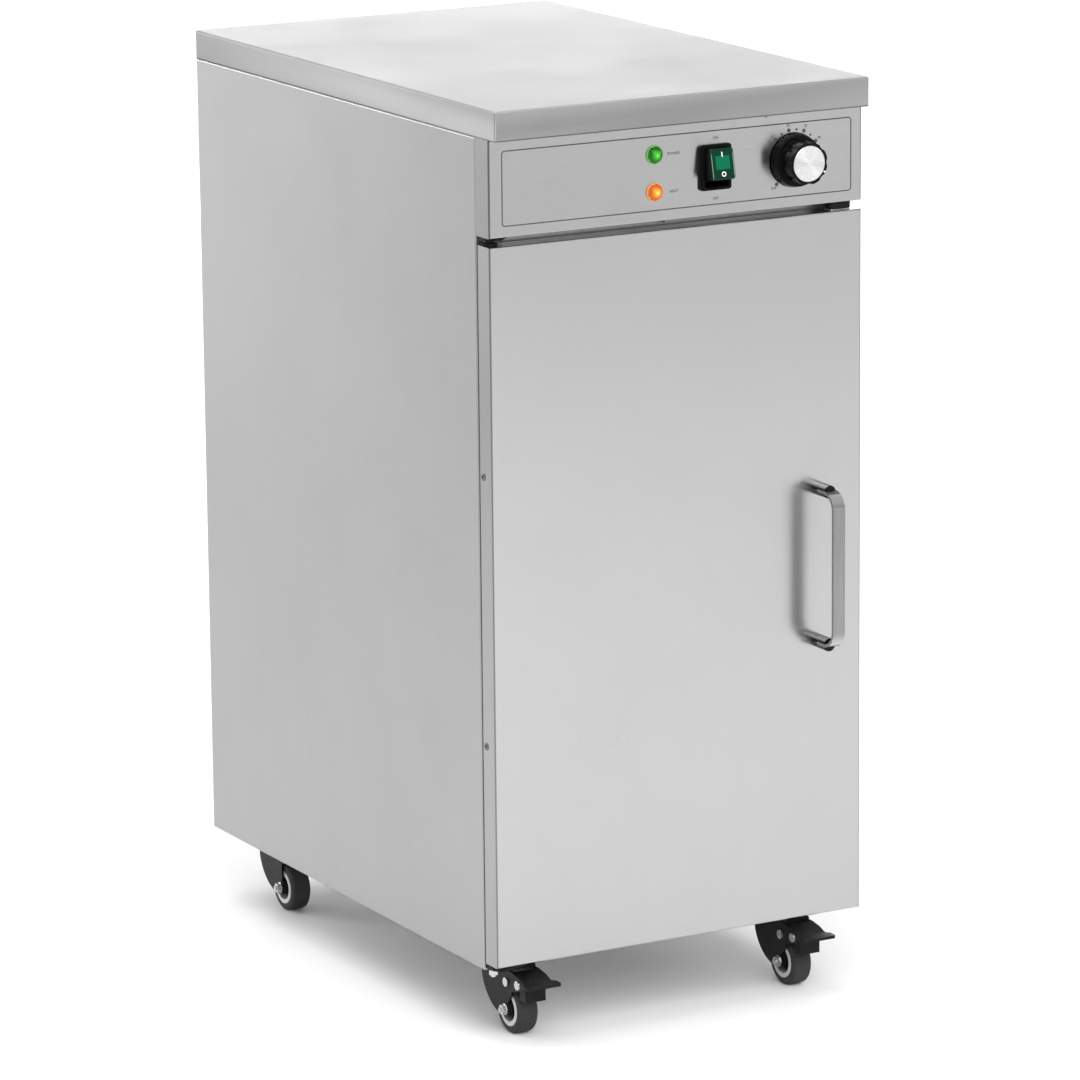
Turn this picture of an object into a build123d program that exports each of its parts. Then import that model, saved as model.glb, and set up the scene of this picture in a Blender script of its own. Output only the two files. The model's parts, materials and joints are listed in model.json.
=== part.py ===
from build123d import *
from math import cos, radians, sin, tan
import os

os.makedirs("parts", exist_ok=True)

# A one-door plate warmer on four swivel casters. Millimetres, +Z up, the door faces -Y.
# The origin is on the floor, at the middle of the overall width and depth.

# ---- driving dimensions: the cabinet -------------------------------------------------
cabinet_width = 400
cabinet_height = 895
lid_depth = 620
lid_rim = 28
lid_hem = 20
lid_overhang = 13  # the lid's front edge stands this far in front of the door
sheet = 1.0  # outer steel
base_sheet = 1.5
liner_sheet = 0.8
fold_radius = 1.6
narrow_flange = 15
front_flange = 28  # the side panels' returns beside the opening
fit = 0.5  # assembly clearance between folded pieces
running_gap = 0.3  # between faces that move past each other
bore_gap = 0.05  # radial, pins and shafts

# ---- driving dimensions: openings and insulation -------------------------------------
bottom_rail = 32
top_rail = 28
rail_above = 14  # how far the front frame stands up behind the control panel
back_insulation = 30
rack_levels = 5
rack_first = 144  # first ledge above the compartment floor
rack_pitch = 100
ledge_width = 14
ledge_leg = 10
rack_sheet = 1.2
rack_post = 18

# ---- driving dimensions: door --------------------------------------------------------
door_headroom = 8.2  # between the door and the control panel
door_thickness = 22
door_gap = 4  # between the door's back and the body
door_tray = 12  # depth of the inner skin's edges
gasket_width = 10
pivot_inset = 8  # hinge pin from the door's left edge, and from its back
pivot_radius = 4
pivot_plate = 3
bush_radius = 5.5
bush_flange = 2
bush_flange_radius = 8
bush_length = 12
handle_inset = 48  # its middle from the door's right edge
handle_bottom = 353
handle_height = 152
handle_width = 13
handle_bar = 3
handle_standoff = 39
handle_bend = 16
stub_radius = 6.5
stub_length = 22
stub_round = 0.6
stud_radius = 2.5

# ---- driving dimensions: control panel -----------------------------------------------
panel_height = 91
lamp_inset = 225.5  # lamps, switch and knob: from the panel's right edge
lamp_heights = {"power_lamp": 63, "heat_lamp": 28}  # above the panel's lower edge
lamp_radius = 8
switch_inset = 161
switch_height = 46
switch_width = 34
switch_length = 43
switch_proud = 4.5
rocker_width = 25.5
rocker_length = 30.5
rocker_crown = 24  # its face from its pivot
rocker_sunk = 8  # its pivot behind the panel's face
rocker_tilt = 12
knob_inset = 74.7
knob_height = 45
skirt_radius = 26
skirt_depth = 8
grip_radius = 20
knob_depth = 28
cap_radius = 17
cap_sheet = 1.2
spindle_radius = 3

# ---- driving dimensions: casters -----------------------------------------------------
caster_height = 75
caster_inset = 48  # swivel axis from the cabinet's side
caster_front = 88  # swivel axis behind the lid's front edge
caster_spread = 476  # front axis to rear axis
caster_plate = 60
plate_thick = 2.5
caster_bolt = 3
bolt_spacing = 45
trail = 26
wheel_radius = 24
rim_radius = 17
rim_lip = 4.5
tyre_half = 10.4
tyre_shoulder = (2, 3)  # across and down
hub_half = 10.9
hub_radius = 8
axle_radius = 4
kingpin_radius = 4
cheek = 2
crown_radius = 23
crown_thick = 2.5
race_radius = 19
race_height = 4
ear_radius = 7.5
pedal_reach = 54  # tread edge in front of the axle
pedal_half = 18.5
pedal_sheet = 1.5
pedal_pivot = (6, 53)  # in front of the axle, above the floor
brake_gap = 3.6

# ---- driving dimensions: heating -----------------------------------------------------
heater_radius = 4
heater_bend = 35
heater_lift = 22
heater_front = 60
guard_height = 44
guard_clear = 22  # from the compartment's walls
gland_inset = 70  # from the cabinet's left side
gland_reach = 18
gland_bore = 4.5
service_height = 46  # gland and terminals above the panel's lower edge

# ---- places that follow ---------------------------------------------------------------
half_width = cabinet_width / 2
overall_depth = handle_standoff - lid_overhang + lid_depth + gland_reach
lid_front = -overall_depth / 2 + handle_standoff - lid_overhang
lid_back = lid_front + lid_depth
lid_middle = (lid_front + lid_back) / 2
door_face = lid_front + lid_overhang
door_back = door_face + door_thickness
body_front = door_back + door_gap
frame_back = body_front + 2 * sheet
rear_skin = lid_back - sheet
rear_flange = rear_skin - sheet

seat_z = cabinet_height - lid_rim
mount_z = caster_height
body_bottom = mount_z - sheet
base_top = mount_z + base_sheet
pivot_top = base_top + pivot_plate
door_bottom = pivot_top + running_gap + bush_flange
panel_bottom = seat_z - panel_height
door_top = panel_bottom - door_headroom
door_height = door_top - door_bottom
frame_top = panel_bottom + rail_above
opening_bottom = body_bottom + bottom_rail
opening_top = panel_bottom - top_rail
opening_half = half_width - front_flange
liner_back = lid_back - sheet - back_insulation - liner_sheet
liner_rear = liner_back + liner_sheet
pivot_x = -half_width + pivot_inset
pivot_y = door_back - pivot_inset
service_z = panel_bottom + service_height
handle_x = half_width - handle_inset
lamp_x = half_width - lamp_inset
switch_x = half_width - switch_inset
knob_x = half_width - knob_inset
caster_x = half_width - caster_inset
guard_half = opening_half - guard_clear
gland_x = gland_inset - half_width


def wall(y):
    """A sketch plane facing the front; a sketch on it is drawn in X and Z."""
    return Plane.XZ.offset(-y)


def keep(piece, name):
    """Label a finished piece and write it."""
    piece.part.label = name
    export_step(piece.part, f"parts/{name}.step")


# ==== outer casing ====================================================================

# Worktop: a pan folded down all round, with its lower edge turned in.
lid_screws = [(-87.5, lid_front + 6), (87.5, lid_front + 6)]
screw_radius = 2
with BuildPart() as top_cover:
    with BuildSketch(Plane.XY.offset(seat_z)):
        with Locations((0, lid_middle)):
            Rectangle(cabinet_width, lid_depth)
    extrude(amount=lid_rim)
    fillet(top_cover.edges().filter_by(Axis.Z), fold_radius)
    fillet(top_cover.faces().sort_by(Axis.Z)[-1].edges(), fold_radius)
    offset(amount=-sheet, openings=top_cover.faces().sort_by(Axis.Z)[0])
    with BuildSketch(Plane.XY.offset(seat_z)):
        with Locations((0, lid_middle)):
            RectangleRounded(cabinet_width - sheet, lid_depth - sheet, fold_radius)
            Rectangle(cabinet_width - 2 * lid_hem, lid_depth - 2 * lid_hem, mode=Mode.SUBTRACT)
        with Locations(lid_screws):
            Circle(screw_radius + bore_gap, mode=Mode.SUBTRACT)
    extrude(amount=sheet)
keep(top_cover, "top_cover")

# Side panels: pans with a wide return beside the door opening and narrow ones elsewhere.
panel_screw_rows = [body_bottom + 20, (body_bottom + seat_z) / 2, seat_z - 20]
panel_screw_x = half_width - narrow_flange / 2
panel_screws = [(x, z) for x in (-panel_screw_x, panel_screw_x) for z in panel_screw_rows]
for side, sign, outer, inner in (("left", -1, 0, -1), ("right", 1, -1, 0)):
    with BuildPart() as side_panel:
        with BuildSketch(Plane.XY.offset(body_bottom)):
            with Locations((sign * (half_width - front_flange / 2), (body_front + rear_skin) / 2)):
                Rectangle(front_flange, rear_skin - body_front)
        extrude(amount=seat_z - body_bottom)
        fillet(side_panel.faces().sort_by(Axis.X)[outer].edges(), fold_radius)
        offset(amount=-sheet, openings=side_panel.faces().sort_by(Axis.X)[inner])
        trim = front_flange - narrow_flange
        with BuildSketch(Plane.XY.offset(body_bottom)):
            with Locations((sign * (opening_half + trim / 2), (body_front + sheet + rear_skin) / 2)):
                Rectangle(trim, rear_skin - body_front - sheet)
        extrude(amount=seat_z - body_bottom, mode=Mode.SUBTRACT)
        with BuildSketch(wall(rear_skin)):
            with Locations(panel_screws):
                Circle(screw_radius + bore_gap)
        extrude(amount=sheet, mode=Mode.SUBTRACT)
    keep(side_panel, f"side_panel_{side}")

# Back panel: a flat sheet with two banks of vent slots and the cable entry.
panel_edge = fold_radius
gland_thread = 9
vent_slot = (60, 4)
vent_rows = 7
vent_pitch = 10
vent_x = 55
with BuildPart() as back_panel:
    with BuildSketch(wall(lid_back)):
        with Locations((0, (body_bottom + seat_z) / 2)):
            Rectangle(cabinet_width - 2 * panel_edge, seat_z - body_bottom)
        with Locations((gland_x, service_z)):
            Circle(gland_thread, mode=Mode.SUBTRACT)
        with Locations((vent_x, service_z)):
            with GridLocations(vent_slot[0] + 14, vent_pitch, 2, vent_rows):
                SlotOverall(*vent_slot, mode=Mode.SUBTRACT)
        with Locations(panel_screws):
            Circle(screw_radius + bore_gap, mode=Mode.SUBTRACT)
    extrude(amount=sheet)
keep(back_panel, "back_panel")

# Base: a tray, open at the front, that sits on the side panels' lower returns.
plate_centres = [
    (x, y)
    for x in (-caster_x, caster_x)
    for y in (lid_front + caster_front, lid_front + caster_front + caster_spread)
]
bolt_places = [
    (x + i * bolt_spacing / 2, y + j * bolt_spacing / 2)
    for x, y in plate_centres
    for i in (-1, 1)
    for j in (-1, 1)
]
base_lip = 15
base_half = half_width - sheet - fit
with BuildPart() as base_panel:
    with BuildSketch(Plane.XY.offset(mount_z)):
        with Locations((0, (frame_back + rear_flange) / 2)):
            Rectangle(2 * base_half, rear_flange - frame_back)
    extrude(amount=base_lip)
    low_edges = base_panel.faces().sort_by(Axis.Z)[0].edges()
    fillet(low_edges.sort_by(Axis.Y)[1:], base_sheet + fit)
    lid_side = base_panel.faces().sort_by(Axis.Z)[-1]
    front_side = base_panel.faces().sort_by(Axis.Y)[0]
    offset(amount=-base_sheet, openings=[lid_side, front_side])
    with BuildSketch(Plane.XY.offset(mount_z)):
        with Locations(bolt_places):
            Circle(caster_bolt + 2 * bore_gap)
    extrude(amount=base_sheet, mode=Mode.SUBTRACT)
keep(base_panel, "base_panel")

# Front frame: closes the space between liner and casing, behind the side returns.
tail_x = (-opening_half + fit, -opening_half + 12)  # where the lower hinge plate passes
frame_half = half_width - fold_radius - bore_gap
return_depth = 14
return_half = half_width - narrow_flange - fit
with BuildPart() as front_frame:
    with BuildSketch(wall(frame_back)):
        with Locations((0, (mount_z + frame_top) / 2)):
            Rectangle(2 * frame_half, frame_top - mount_z)
        with Locations((0, (opening_bottom + opening_top) / 2)):
            Rectangle(2 * opening_half, opening_top - opening_bottom, mode=Mode.SUBTRACT)
        with Locations(((tail_x[0] + tail_x[1]) / 2, (base_top + pivot_top) / 2)):
            Rectangle(tail_x[1] - tail_x[0], pivot_plate + fit, mode=Mode.SUBTRACT)
    extrude(amount=sheet)
    for level, half in ((body_bottom, return_half), (frame_top - sheet, frame_half - base_lip)):
        with BuildSketch(Plane.XY.offset(level)):
            with Locations((0, frame_back - sheet + return_depth / 2)):
                Rectangle(2 * half, return_depth)
        extrude(amount=sheet)
keep(front_frame, "front_frame")

# Control panel: a box front with returns to the body, open at the back.
box_depth = body_front - door_face
hinge_leg = 3
tab_width = 10
tab_bottom = panel_bottom + 42
knob_hole = 5
housing_body = (30.5, 38.5)
lamp_stem = 5
bottom_screw = (-15, door_face + 6)
with BuildPart() as control_panel:
    with BuildSketch(Plane.XY.offset(panel_bottom)):
        with Locations((0, door_face + box_depth / 2)):
            Rectangle(cabinet_width, box_depth)
    extrude(amount=panel_height)
    front_face = control_panel.faces().sort_by(Axis.Y)[0]
    fillet(front_face.edges(), fold_radius)
    offset(amount=-sheet, openings=control_panel.faces().sort_by(Axis.Y)[-1])
    with BuildSketch(wall(body_front)):
        with Locations((0, (tab_bottom + seat_z - fold_radius) / 2)):
            Rectangle(cabinet_width - sheet, seat_z - fold_radius - tab_bottom)
            tab_gap = cabinet_width - 2 * sheet - 2 * tab_width
            Rectangle(tab_gap, seat_z - tab_bottom, mode=Mode.SUBTRACT)
    extrude(amount=sheet)
    with BuildSketch(Plane.XY.offset(panel_bottom)):
        with Locations((0, body_front)):
            Rectangle(cabinet_width - 2 * sheet, 2 * (hinge_leg + running_gap))
        with Locations(bottom_screw):
            Circle(screw_radius + bore_gap)
    extrude(amount=sheet, mode=Mode.SUBTRACT)
    with BuildSketch(wall(door_face + sheet)):
        with Locations([(lamp_x, panel_bottom + h) for h in lamp_heights.values()]):
            Circle(lamp_stem + bore_gap)
        with Locations((switch_x, panel_bottom + switch_height)):
            Rectangle(housing_body[0] + fit, housing_body[1] + fit)
        with Locations((knob_x, panel_bottom + knob_height)):
            Circle(knob_hole + bore_gap)
    extrude(amount=sheet, mode=Mode.SUBTRACT)
keep(control_panel, "control_panel")

# ==== heated compartment ==============================================================

liner_flange = 12
liner_outer = opening_half + liner_sheet
floor_under = opening_bottom - liner_sheet
roof_over = opening_top + liner_sheet

# Liner sides: sheets whose front edges turn outwards against the frame.
for side, sign in (("left", -1), ("right", 1)):
    with BuildPart() as liner_side:
        with BuildSketch(Plane.XY.offset(floor_under)):
            with BuildLine():
                Polyline(
                    (sign * opening_half, frame_back),
                    (sign * (liner_outer + liner_flange), frame_back),
                    (sign * (liner_outer + liner_flange), frame_back + liner_sheet),
                    (sign * liner_outer, frame_back + liner_sheet),
                    (sign * liner_outer, liner_rear),
                    (sign * opening_half, liner_rear),
                    close=True,
                )
            make_face()
        extrude(amount=roof_over - floor_under)
    keep(liner_side, f"liner_{side}")

# Liner floor and roof: the same sheet turned down or up against the frame.
for name, face_z, step in (("liner_floor", opening_bottom, -1), ("liner_roof", opening_top, 1)):
    with BuildPart() as liner_flat:
        with BuildSketch(Plane.YZ.offset(-opening_half)):
            with BuildLine():
                Polyline(
                    (frame_back, face_z),
                    (frame_back, face_z + step * liner_flange),
                    (frame_back + liner_sheet, face_z + step * liner_flange),
                    (frame_back + liner_sheet, face_z + step * liner_sheet),
                    (liner_rear, face_z + step * liner_sheet),
                    (liner_rear, face_z),
                    close=True,
                )
            make_face()
        extrude(amount=2 * opening_half)
    keep(liner_flat, name)

# Liner back, pierced for the heater's ends and the thermostat's bulb.
heater_z = opening_bottom + heater_lift
heater_ends = 3 * heater_bend
bulb_x = opening_half - 10
bulb_z = opening_top - 13
bulb_radius = 3
with BuildPart() as liner_back_sheet:
    with BuildSketch(wall(liner_rear)):
        with Locations((0, (opening_bottom + opening_top) / 2)):
            Rectangle(2 * opening_half, opening_top - opening_bottom)
        with Locations((-heater_ends, heater_z), (heater_ends, heater_z)):
            Circle(heater_radius + running_gap, mode=Mode.SUBTRACT)
        with Locations((bulb_x, bulb_z)):
            Circle(bulb_radius + running_gap, mode=Mode.SUBTRACT)
    extrude(amount=liner_sheet)
keep(liner_back_sheet, "liner_back")

# Insulation: mineral wool slabs that fill the walls.
wool_front = frame_back + 2
wool_clear = 2  # from folds and corners
wool_low = mount_z + base_lip + wool_clear
wool_sill = base_top + 8  # above the caster nuts
wool_back_low = heater_z + 30
wool_back_high = opening_top - 50
wool_side = half_width - sheet - liner_outer
slabs = [
    (-liner_outer - wool_side / 2, wool_side, (wool_front, liner_rear), (wool_low, panel_bottom - 6)),
    (liner_outer + wool_side / 2, wool_side, (wool_front, liner_rear), (wool_low, panel_bottom - 6)),
    (0, 2 * opening_half, (wool_front, liner_rear), (roof_over, panel_bottom)),
    (0, 2 * opening_half - 30, (wool_front, liner_rear), (wool_sill, floor_under)),
    (0, 2 * opening_half, (liner_rear, rear_skin), (wool_back_low, wool_back_high)),
]
with BuildPart() as insulation:
    for x, width, span_y, span_z in slabs:
        with BuildSketch(Plane.XY.offset(span_z[0])):
            with Locations((x, (span_y[0] + span_y[1]) / 2)):
                Rectangle(width, span_y[1] - span_y[0])
        extrude(amount=span_z[1] - span_z[0])
keep(insulation, "insulation_slabs")

# Shelf racks: two posts against each wall with angle ledges welded across them.
ledge_levels = [opening_bottom + rack_first + i * rack_pitch for i in range(rack_levels)]
rack_front = frame_back + 24
rack_back = liner_back - 24
post_bottom = ledge_levels[0] - 40
post_top = ledge_levels[-1] + 34
with BuildPart() as rack_left:
    with BuildSketch(wall(rack_back)):
        for level in ledge_levels:
            with BuildLine():
                Polyline(
                    (-opening_half, level),
                    (-opening_half + ledge_width, level),
                    (-opening_half + ledge_width, level - rack_sheet),
                    (-opening_half + rack_sheet, level - rack_sheet),
                    (-opening_half + rack_sheet, level - ledge_leg),
                    (-opening_half, level - ledge_leg),
                    close=True,
                )
            make_face()
    extrude(amount=rack_back - rack_front)
    with BuildSketch(Plane.XY.offset(post_bottom)):
        for y in (rack_front + 2 * rack_post, rack_back - 2 * rack_post):
            with Locations((-opening_half + rack_sheet / 2, y)):
                Rectangle(rack_sheet, rack_post)
    extrude(amount=post_top - post_bottom)
keep(rack_left, "shelf_rack_left")

with BuildPart() as rack_right:
    mirror(rack_left.part, about=Plane.YZ)
keep(rack_right, "shelf_rack_right")

# Wire shelves: a bent frame rod, two cross rods and long wires laid on top and welded.
rod_radius = 2.5
wire_radius = 1.5
wire_count = 13
weld = 0.4  # how far crossing wires sink into each other
shelf_clear = 2
shelf_half = opening_half - rack_sheet - shelf_clear - rod_radius
shelf_front = rack_front + 2 + rod_radius
shelf_back = rack_back - 2 - rod_radius
shelf_corner = 12
cross_rod_inset = 150
shelf_seats = ledge_levels[1::2]
for name, shelf_z in zip(("wire_shelf_lower", "wire_shelf_upper"), shelf_seats):
    rod_z = shelf_z + rod_radius
    wire_z = rod_z + rod_radius + wire_radius - weld
    with BuildPart() as wire_shelf:
        with BuildLine(Plane.XY.offset(rod_z)) as rod_path:
            with Locations((0, (shelf_front + shelf_back) / 2)):
                Polyline(
                    (0, shelf_front),
                    (shelf_half, shelf_front),
                    (shelf_half, shelf_back),
                    (-shelf_half, shelf_back),
                    (-shelf_half, shelf_front),
                    close=True,
                )
            fillet(rod_path.vertices().filter_by(lambda v: abs(v.X) > 1), shelf_corner)
        with BuildSketch(Plane.YZ.offset(0)):
            with Locations((shelf_front, rod_z)):
                Circle(rod_radius)
        sweep(path=rod_path.wire())
        with BuildSketch(Plane.YZ.offset(-shelf_half)):
            with Locations((shelf_front + cross_rod_inset, rod_z), (shelf_back - cross_rod_inset, rod_z)):
                Circle(rod_radius)
        extrude(amount=2 * shelf_half)
        with BuildSketch(wall(shelf_back)):
            with Locations((0, wire_z)):
                with GridLocations(2 * shelf_half / (wire_count + 1), 1, wire_count, 1):
                    Circle(wire_radius)
        extrude(amount=shelf_back - shelf_front)
    keep(wire_shelf, name)

# Heater: one tube bent into two hairpins, with its ends through a flange at the back.
heater_turn = frame_back + heater_front
heater_turn_back = liner_back - 70
heater_out = liner_rear + 16
heater_plate = (2 * heater_ends + 40, 28, 2)
with BuildPart() as heater:
    with BuildLine(Plane.XY.offset(heater_z)) as heater_path:
        Line((-heater_ends, heater_out), (-heater_ends, heater_turn))
        ThreePointArc(
            (-heater_ends, heater_turn),
            (-2 * heater_bend, heater_turn - heater_bend),
            (-heater_bend, heater_turn),
        )
        Line((-heater_bend, heater_turn), (-heater_bend, heater_turn_back))
        ThreePointArc(
            (-heater_bend, heater_turn_back),
            (0, heater_turn_back + heater_bend),
            (heater_bend, heater_turn_back),
        )
        Line((heater_bend, heater_turn_back), (heater_bend, heater_turn))
        ThreePointArc(
            (heater_bend, heater_turn),
            (2 * heater_bend, heater_turn - heater_bend),
            (heater_ends, heater_turn),
        )
        Line((heater_ends, heater_turn), (heater_ends, heater_out))
    with BuildSketch(wall(heater_out)):
        with Locations((-heater_ends, heater_z)):
            Circle(heater_radius)
    sweep(path=heater_path.wire())
    with BuildSketch(wall(liner_back)):
        with Locations((0, heater_z)):
            RectangleRounded(heater_plate[0], heater_plate[1], 6)
    extrude(amount=heater_plate[2])
    with BuildSketch(wall(heater_out + 12)):
        with Locations((-heater_ends, heater_z), (heater_ends, heater_z)):
            Circle(heater_radius / 2)
    extrude(amount=12)
keep(heater, "heating_element")

# Heater support: a strip folded into a low bridge across all four runs.
bridge_half = heater_ends + 18
bridge_width = 14
bridge_foot = 10
bridge_y = heater_turn + 60
bridge_top = heater_z - heater_radius
with BuildPart() as heater_support:
    with BuildSketch(wall(bridge_y)):
        with BuildLine():
            Polyline(
                (-bridge_half - bridge_foot, opening_bottom),
                (-bridge_half - bridge_foot, opening_bottom + rack_sheet),
                (-bridge_half - rack_sheet, opening_bottom + rack_sheet),
                (-bridge_half - rack_sheet, bridge_top),
                (bridge_half + rack_sheet, bridge_top),
                (bridge_half + rack_sheet, opening_bottom + rack_sheet),
                (bridge_half + bridge_foot, opening_bottom + rack_sheet),
                (bridge_half + bridge_foot, opening_bottom),
                (bridge_half, opening_bottom),
                (bridge_half, bridge_top - rack_sheet),
                (-bridge_half, bridge_top - rack_sheet),
                (-bridge_half, opening_bottom),
                close=True,
            )
        make_face()
    extrude(amount=bridge_width)
keep(heater_support, "heater_support")

# Heater guard: a slotted cover folded down to the floor at both sides.
guard_front = frame_back + 14
guard_back = liner_back - 12
guard_top = opening_bottom + guard_height
guard_slot = (70, 9)
guard_pitch = 95  # between the columns of slots
guard_rows = 9
with BuildPart() as heater_guard:
    with BuildSketch(wall(guard_back)):
        with Locations((0, opening_bottom)):
            Rectangle(2 * guard_half, guard_height, align=(Align.CENTER, Align.MIN))
            Rectangle(
                2 * (guard_half - sheet),
                guard_height - sheet,
                align=(Align.CENTER, Align.MIN),
                mode=Mode.SUBTRACT,
            )
    extrude(amount=guard_back - guard_front)
    with BuildSketch(Plane.XY.offset(guard_top - sheet)):
        with Locations((0, (guard_front + guard_back) / 2)):
            with GridLocations(
                guard_pitch, (guard_back - guard_front) / (guard_rows + 1), 3, guard_rows
            ):
                SlotOverall(*guard_slot)
    extrude(amount=sheet, mode=Mode.SUBTRACT)
keep(heater_guard, "heater_guard")

# ==== controls and wiring points ======================================================

panel_back = door_face + sheet

# Pilot lamps: a domed lens with a collar on the panel, a stem through it and a ring nut.
lamp_collar = 8.8
lamp_dome = 6.5
lamp_tail = 20
with BuildPart() as lamp:
    with BuildSketch(Plane.YZ):
        with BuildLine():
            Polyline(
                (door_face - 1.5, lamp_radius),
                (door_face - 1.5, lamp_collar),
                (door_face, lamp_collar),
                (door_face, lamp_stem),
                (panel_back, lamp_stem),
                (panel_back, lamp_collar),
                (panel_back + 3, lamp_collar),
                (panel_back + 3, lamp_stem),
                (door_face + lamp_tail, lamp_stem),
                (door_face + lamp_tail, 0),
                (door_face - lamp_dome, 0),
            )
            TangentArc((door_face - lamp_dome, 0), (door_face - 1.5, lamp_radius), tangent=(0, 1))
        make_face()
    revolve(axis=Axis.Y)
for name, height in lamp_heights.items():
    with BuildPart() as pilot_lamp:
        with Locations((lamp_x, 0, panel_bottom + height)):
            add(lamp.part)
    keep(pilot_lamp, name)

# Switch housing: a flange with a tapered collar, a well for the rocker, a body and blades.
switch_z = panel_bottom + switch_height
flange_thick = 2.5
flange_corner = 3
collar_inset = 1.3  # inside the flange, at its root
collar_taper = 0.8
collar_corner = 4
rocker_pivot_y = door_face + rocker_sunk
trunnion_radius = 1.5
trunnion_half = rocker_width / 2 + 1.5
body_depth = 26
tilt = radians(rocker_tilt)
rocker_tip = rocker_length / 2
rocker_skirt = 13  # its straight sides, from the face back
rocker_heel = 4
skirt_end = rocker_crown - rocker_skirt
well_floor = rocker_sunk + rocker_heel + 1.5  # behind the panel's face
well_root = rocker_tip + skirt_end * sin(tilt) + running_gap
well_rim = rocker_tip / cos(tilt) + (rocker_sunk + switch_proud) * tan(tilt) + running_gap
blade = (6.3, 0.8, 9)
with BuildPart() as switch_housing:
    with BuildSketch(wall(door_face)):
        with Locations((switch_x, switch_z)):
            RectangleRounded(switch_width, switch_length, flange_corner)
    extrude(amount=flange_thick)
    for rise, inset in ((flange_thick, collar_inset), (switch_proud, collar_inset + collar_taper)):
        with BuildSketch(wall(door_face - rise)):
            with Locations((switch_x, switch_z)):
                RectangleRounded(switch_width - 2 * inset, switch_length - 2 * inset, collar_corner)
    loft(ruled=True)
    with BuildSketch(wall(door_face + body_depth)):
        with Locations((switch_x, switch_z)):
            Rectangle(*housing_body)
    extrude(amount=body_depth)
    with BuildSketch(Plane.YZ.offset(switch_x - rocker_width / 2 - running_gap)):
        with BuildLine():
            Polyline(
                (door_face + well_floor, switch_z - well_root),
                (door_face, switch_z - well_root),
                (door_face - switch_proud, switch_z - well_rim),
                (door_face - switch_proud, switch_z + well_rim),
                (door_face, switch_z + well_root),
                (door_face + well_floor, switch_z + well_root),
                close=True,
            )
        make_face()
    extrude(amount=rocker_width + 2 * running_gap, mode=Mode.SUBTRACT)
    with BuildSketch(Plane.YZ.offset(switch_x - trunnion_half - bore_gap)):
        with Locations((rocker_pivot_y, switch_z)):
            Circle(trunnion_radius + bore_gap)
    extrude(amount=2 * (trunnion_half + bore_gap), mode=Mode.SUBTRACT)
    with BuildSketch(wall(door_face + body_depth + blade[2])):
        with Locations((switch_x, switch_z)):
            with GridLocations(1, 11, 1, 3):
                Rectangle(blade[0], blade[1])
    extrude(amount=blade[2])
keep(switch_housing, "switch_housing")

# Rocker: a flat face over a curved heel, on two trunnions; its upper end is pressed in (on).
rocker_plane = Plane(
    origin=(switch_x - rocker_width / 2, rocker_pivot_y, switch_z),
    x_dir=(0, sin(tilt), cos(tilt)),
    z_dir=(1, 0, 0),
)
rocker_draft = 0.5
rocker_corner = 3
rocker_round = 1.2
with BuildPart() as rocker:
    with BuildSketch(rocker_plane):
        with BuildLine():
            Polyline(
                (-rocker_tip, skirt_end),
                (-rocker_tip + rocker_draft, rocker_crown),
                (rocker_tip - rocker_draft, rocker_crown),
                (rocker_tip, skirt_end),
            )
            ThreePointArc((rocker_tip, skirt_end), (0, -rocker_heel), (-rocker_tip, skirt_end))
        make_face()
    extrude(amount=rocker_width)
    straight = rocker.edges().filter_by(GeomType.LINE).filter_by(Axis.X, reverse=True)
    fillet(straight.sort_by(Axis.Y)[2:6], rocker_corner)
    front = rocker.faces().sort_by(Axis.Y)[0]
    fillet(front.edges(), rocker_round)
    with BuildSketch(Plane.YZ.offset(switch_x - trunnion_half)):
        with Locations((rocker_pivot_y, switch_z)):
            Circle(trunnion_radius)
    extrude(amount=2 * trunnion_half)
keep(rocker, "rocker_button")

# Knob: a tapered skirt with a fluted grip, recessed for its cap and bored for the spindle.
knob_z = panel_bottom + knob_height
knob_back = door_face - 1.5
knob_front = door_face - knob_depth
flute_count = 8
flute_radius = 8
flute_depth = 1.2
flat_cut = 2.4
spindle_grip = 14
with BuildPart() as knob:
    with BuildSketch(wall(knob_back)):
        with Locations((knob_x, knob_z)):
            Circle(skirt_radius)
    extrude(amount=skirt_depth, taper=12)
    with BuildSketch(wall(knob_back)):
        with Locations((knob_x, knob_z)):
            Circle(grip_radius)
            with PolarLocations(grip_radius + flute_radius - flute_depth, flute_count):
                Circle(flute_radius, mode=Mode.SUBTRACT)
    extrude(amount=knob_back - knob_front)
    with BuildSketch(wall(knob_front + cap_sheet)):
        with Locations((knob_x, knob_z)):
            Circle(cap_radius + bore_gap)
    extrude(amount=cap_sheet, mode=Mode.SUBTRACT)
    with BuildSketch(wall(knob_back)):
        with Locations((knob_x, knob_z)):
            Circle(spindle_radius + bore_gap)
        with Locations((knob_x, knob_z + flat_cut + bore_gap)):
            flat_side = (Align.CENTER, Align.MIN)
            Rectangle(4 * spindle_radius, spindle_radius, align=flat_side, mode=Mode.SUBTRACT)
    extrude(amount=spindle_grip, mode=Mode.SUBTRACT)
keep(knob, "knob")

with BuildPart() as knob_cap:
    with BuildSketch(wall(knob_front + cap_sheet)):
        with Locations((knob_x, knob_z)):
            Circle(cap_radius)
    extrude(amount=cap_sheet)
keep(knob_cap, "knob_cap")

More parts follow.
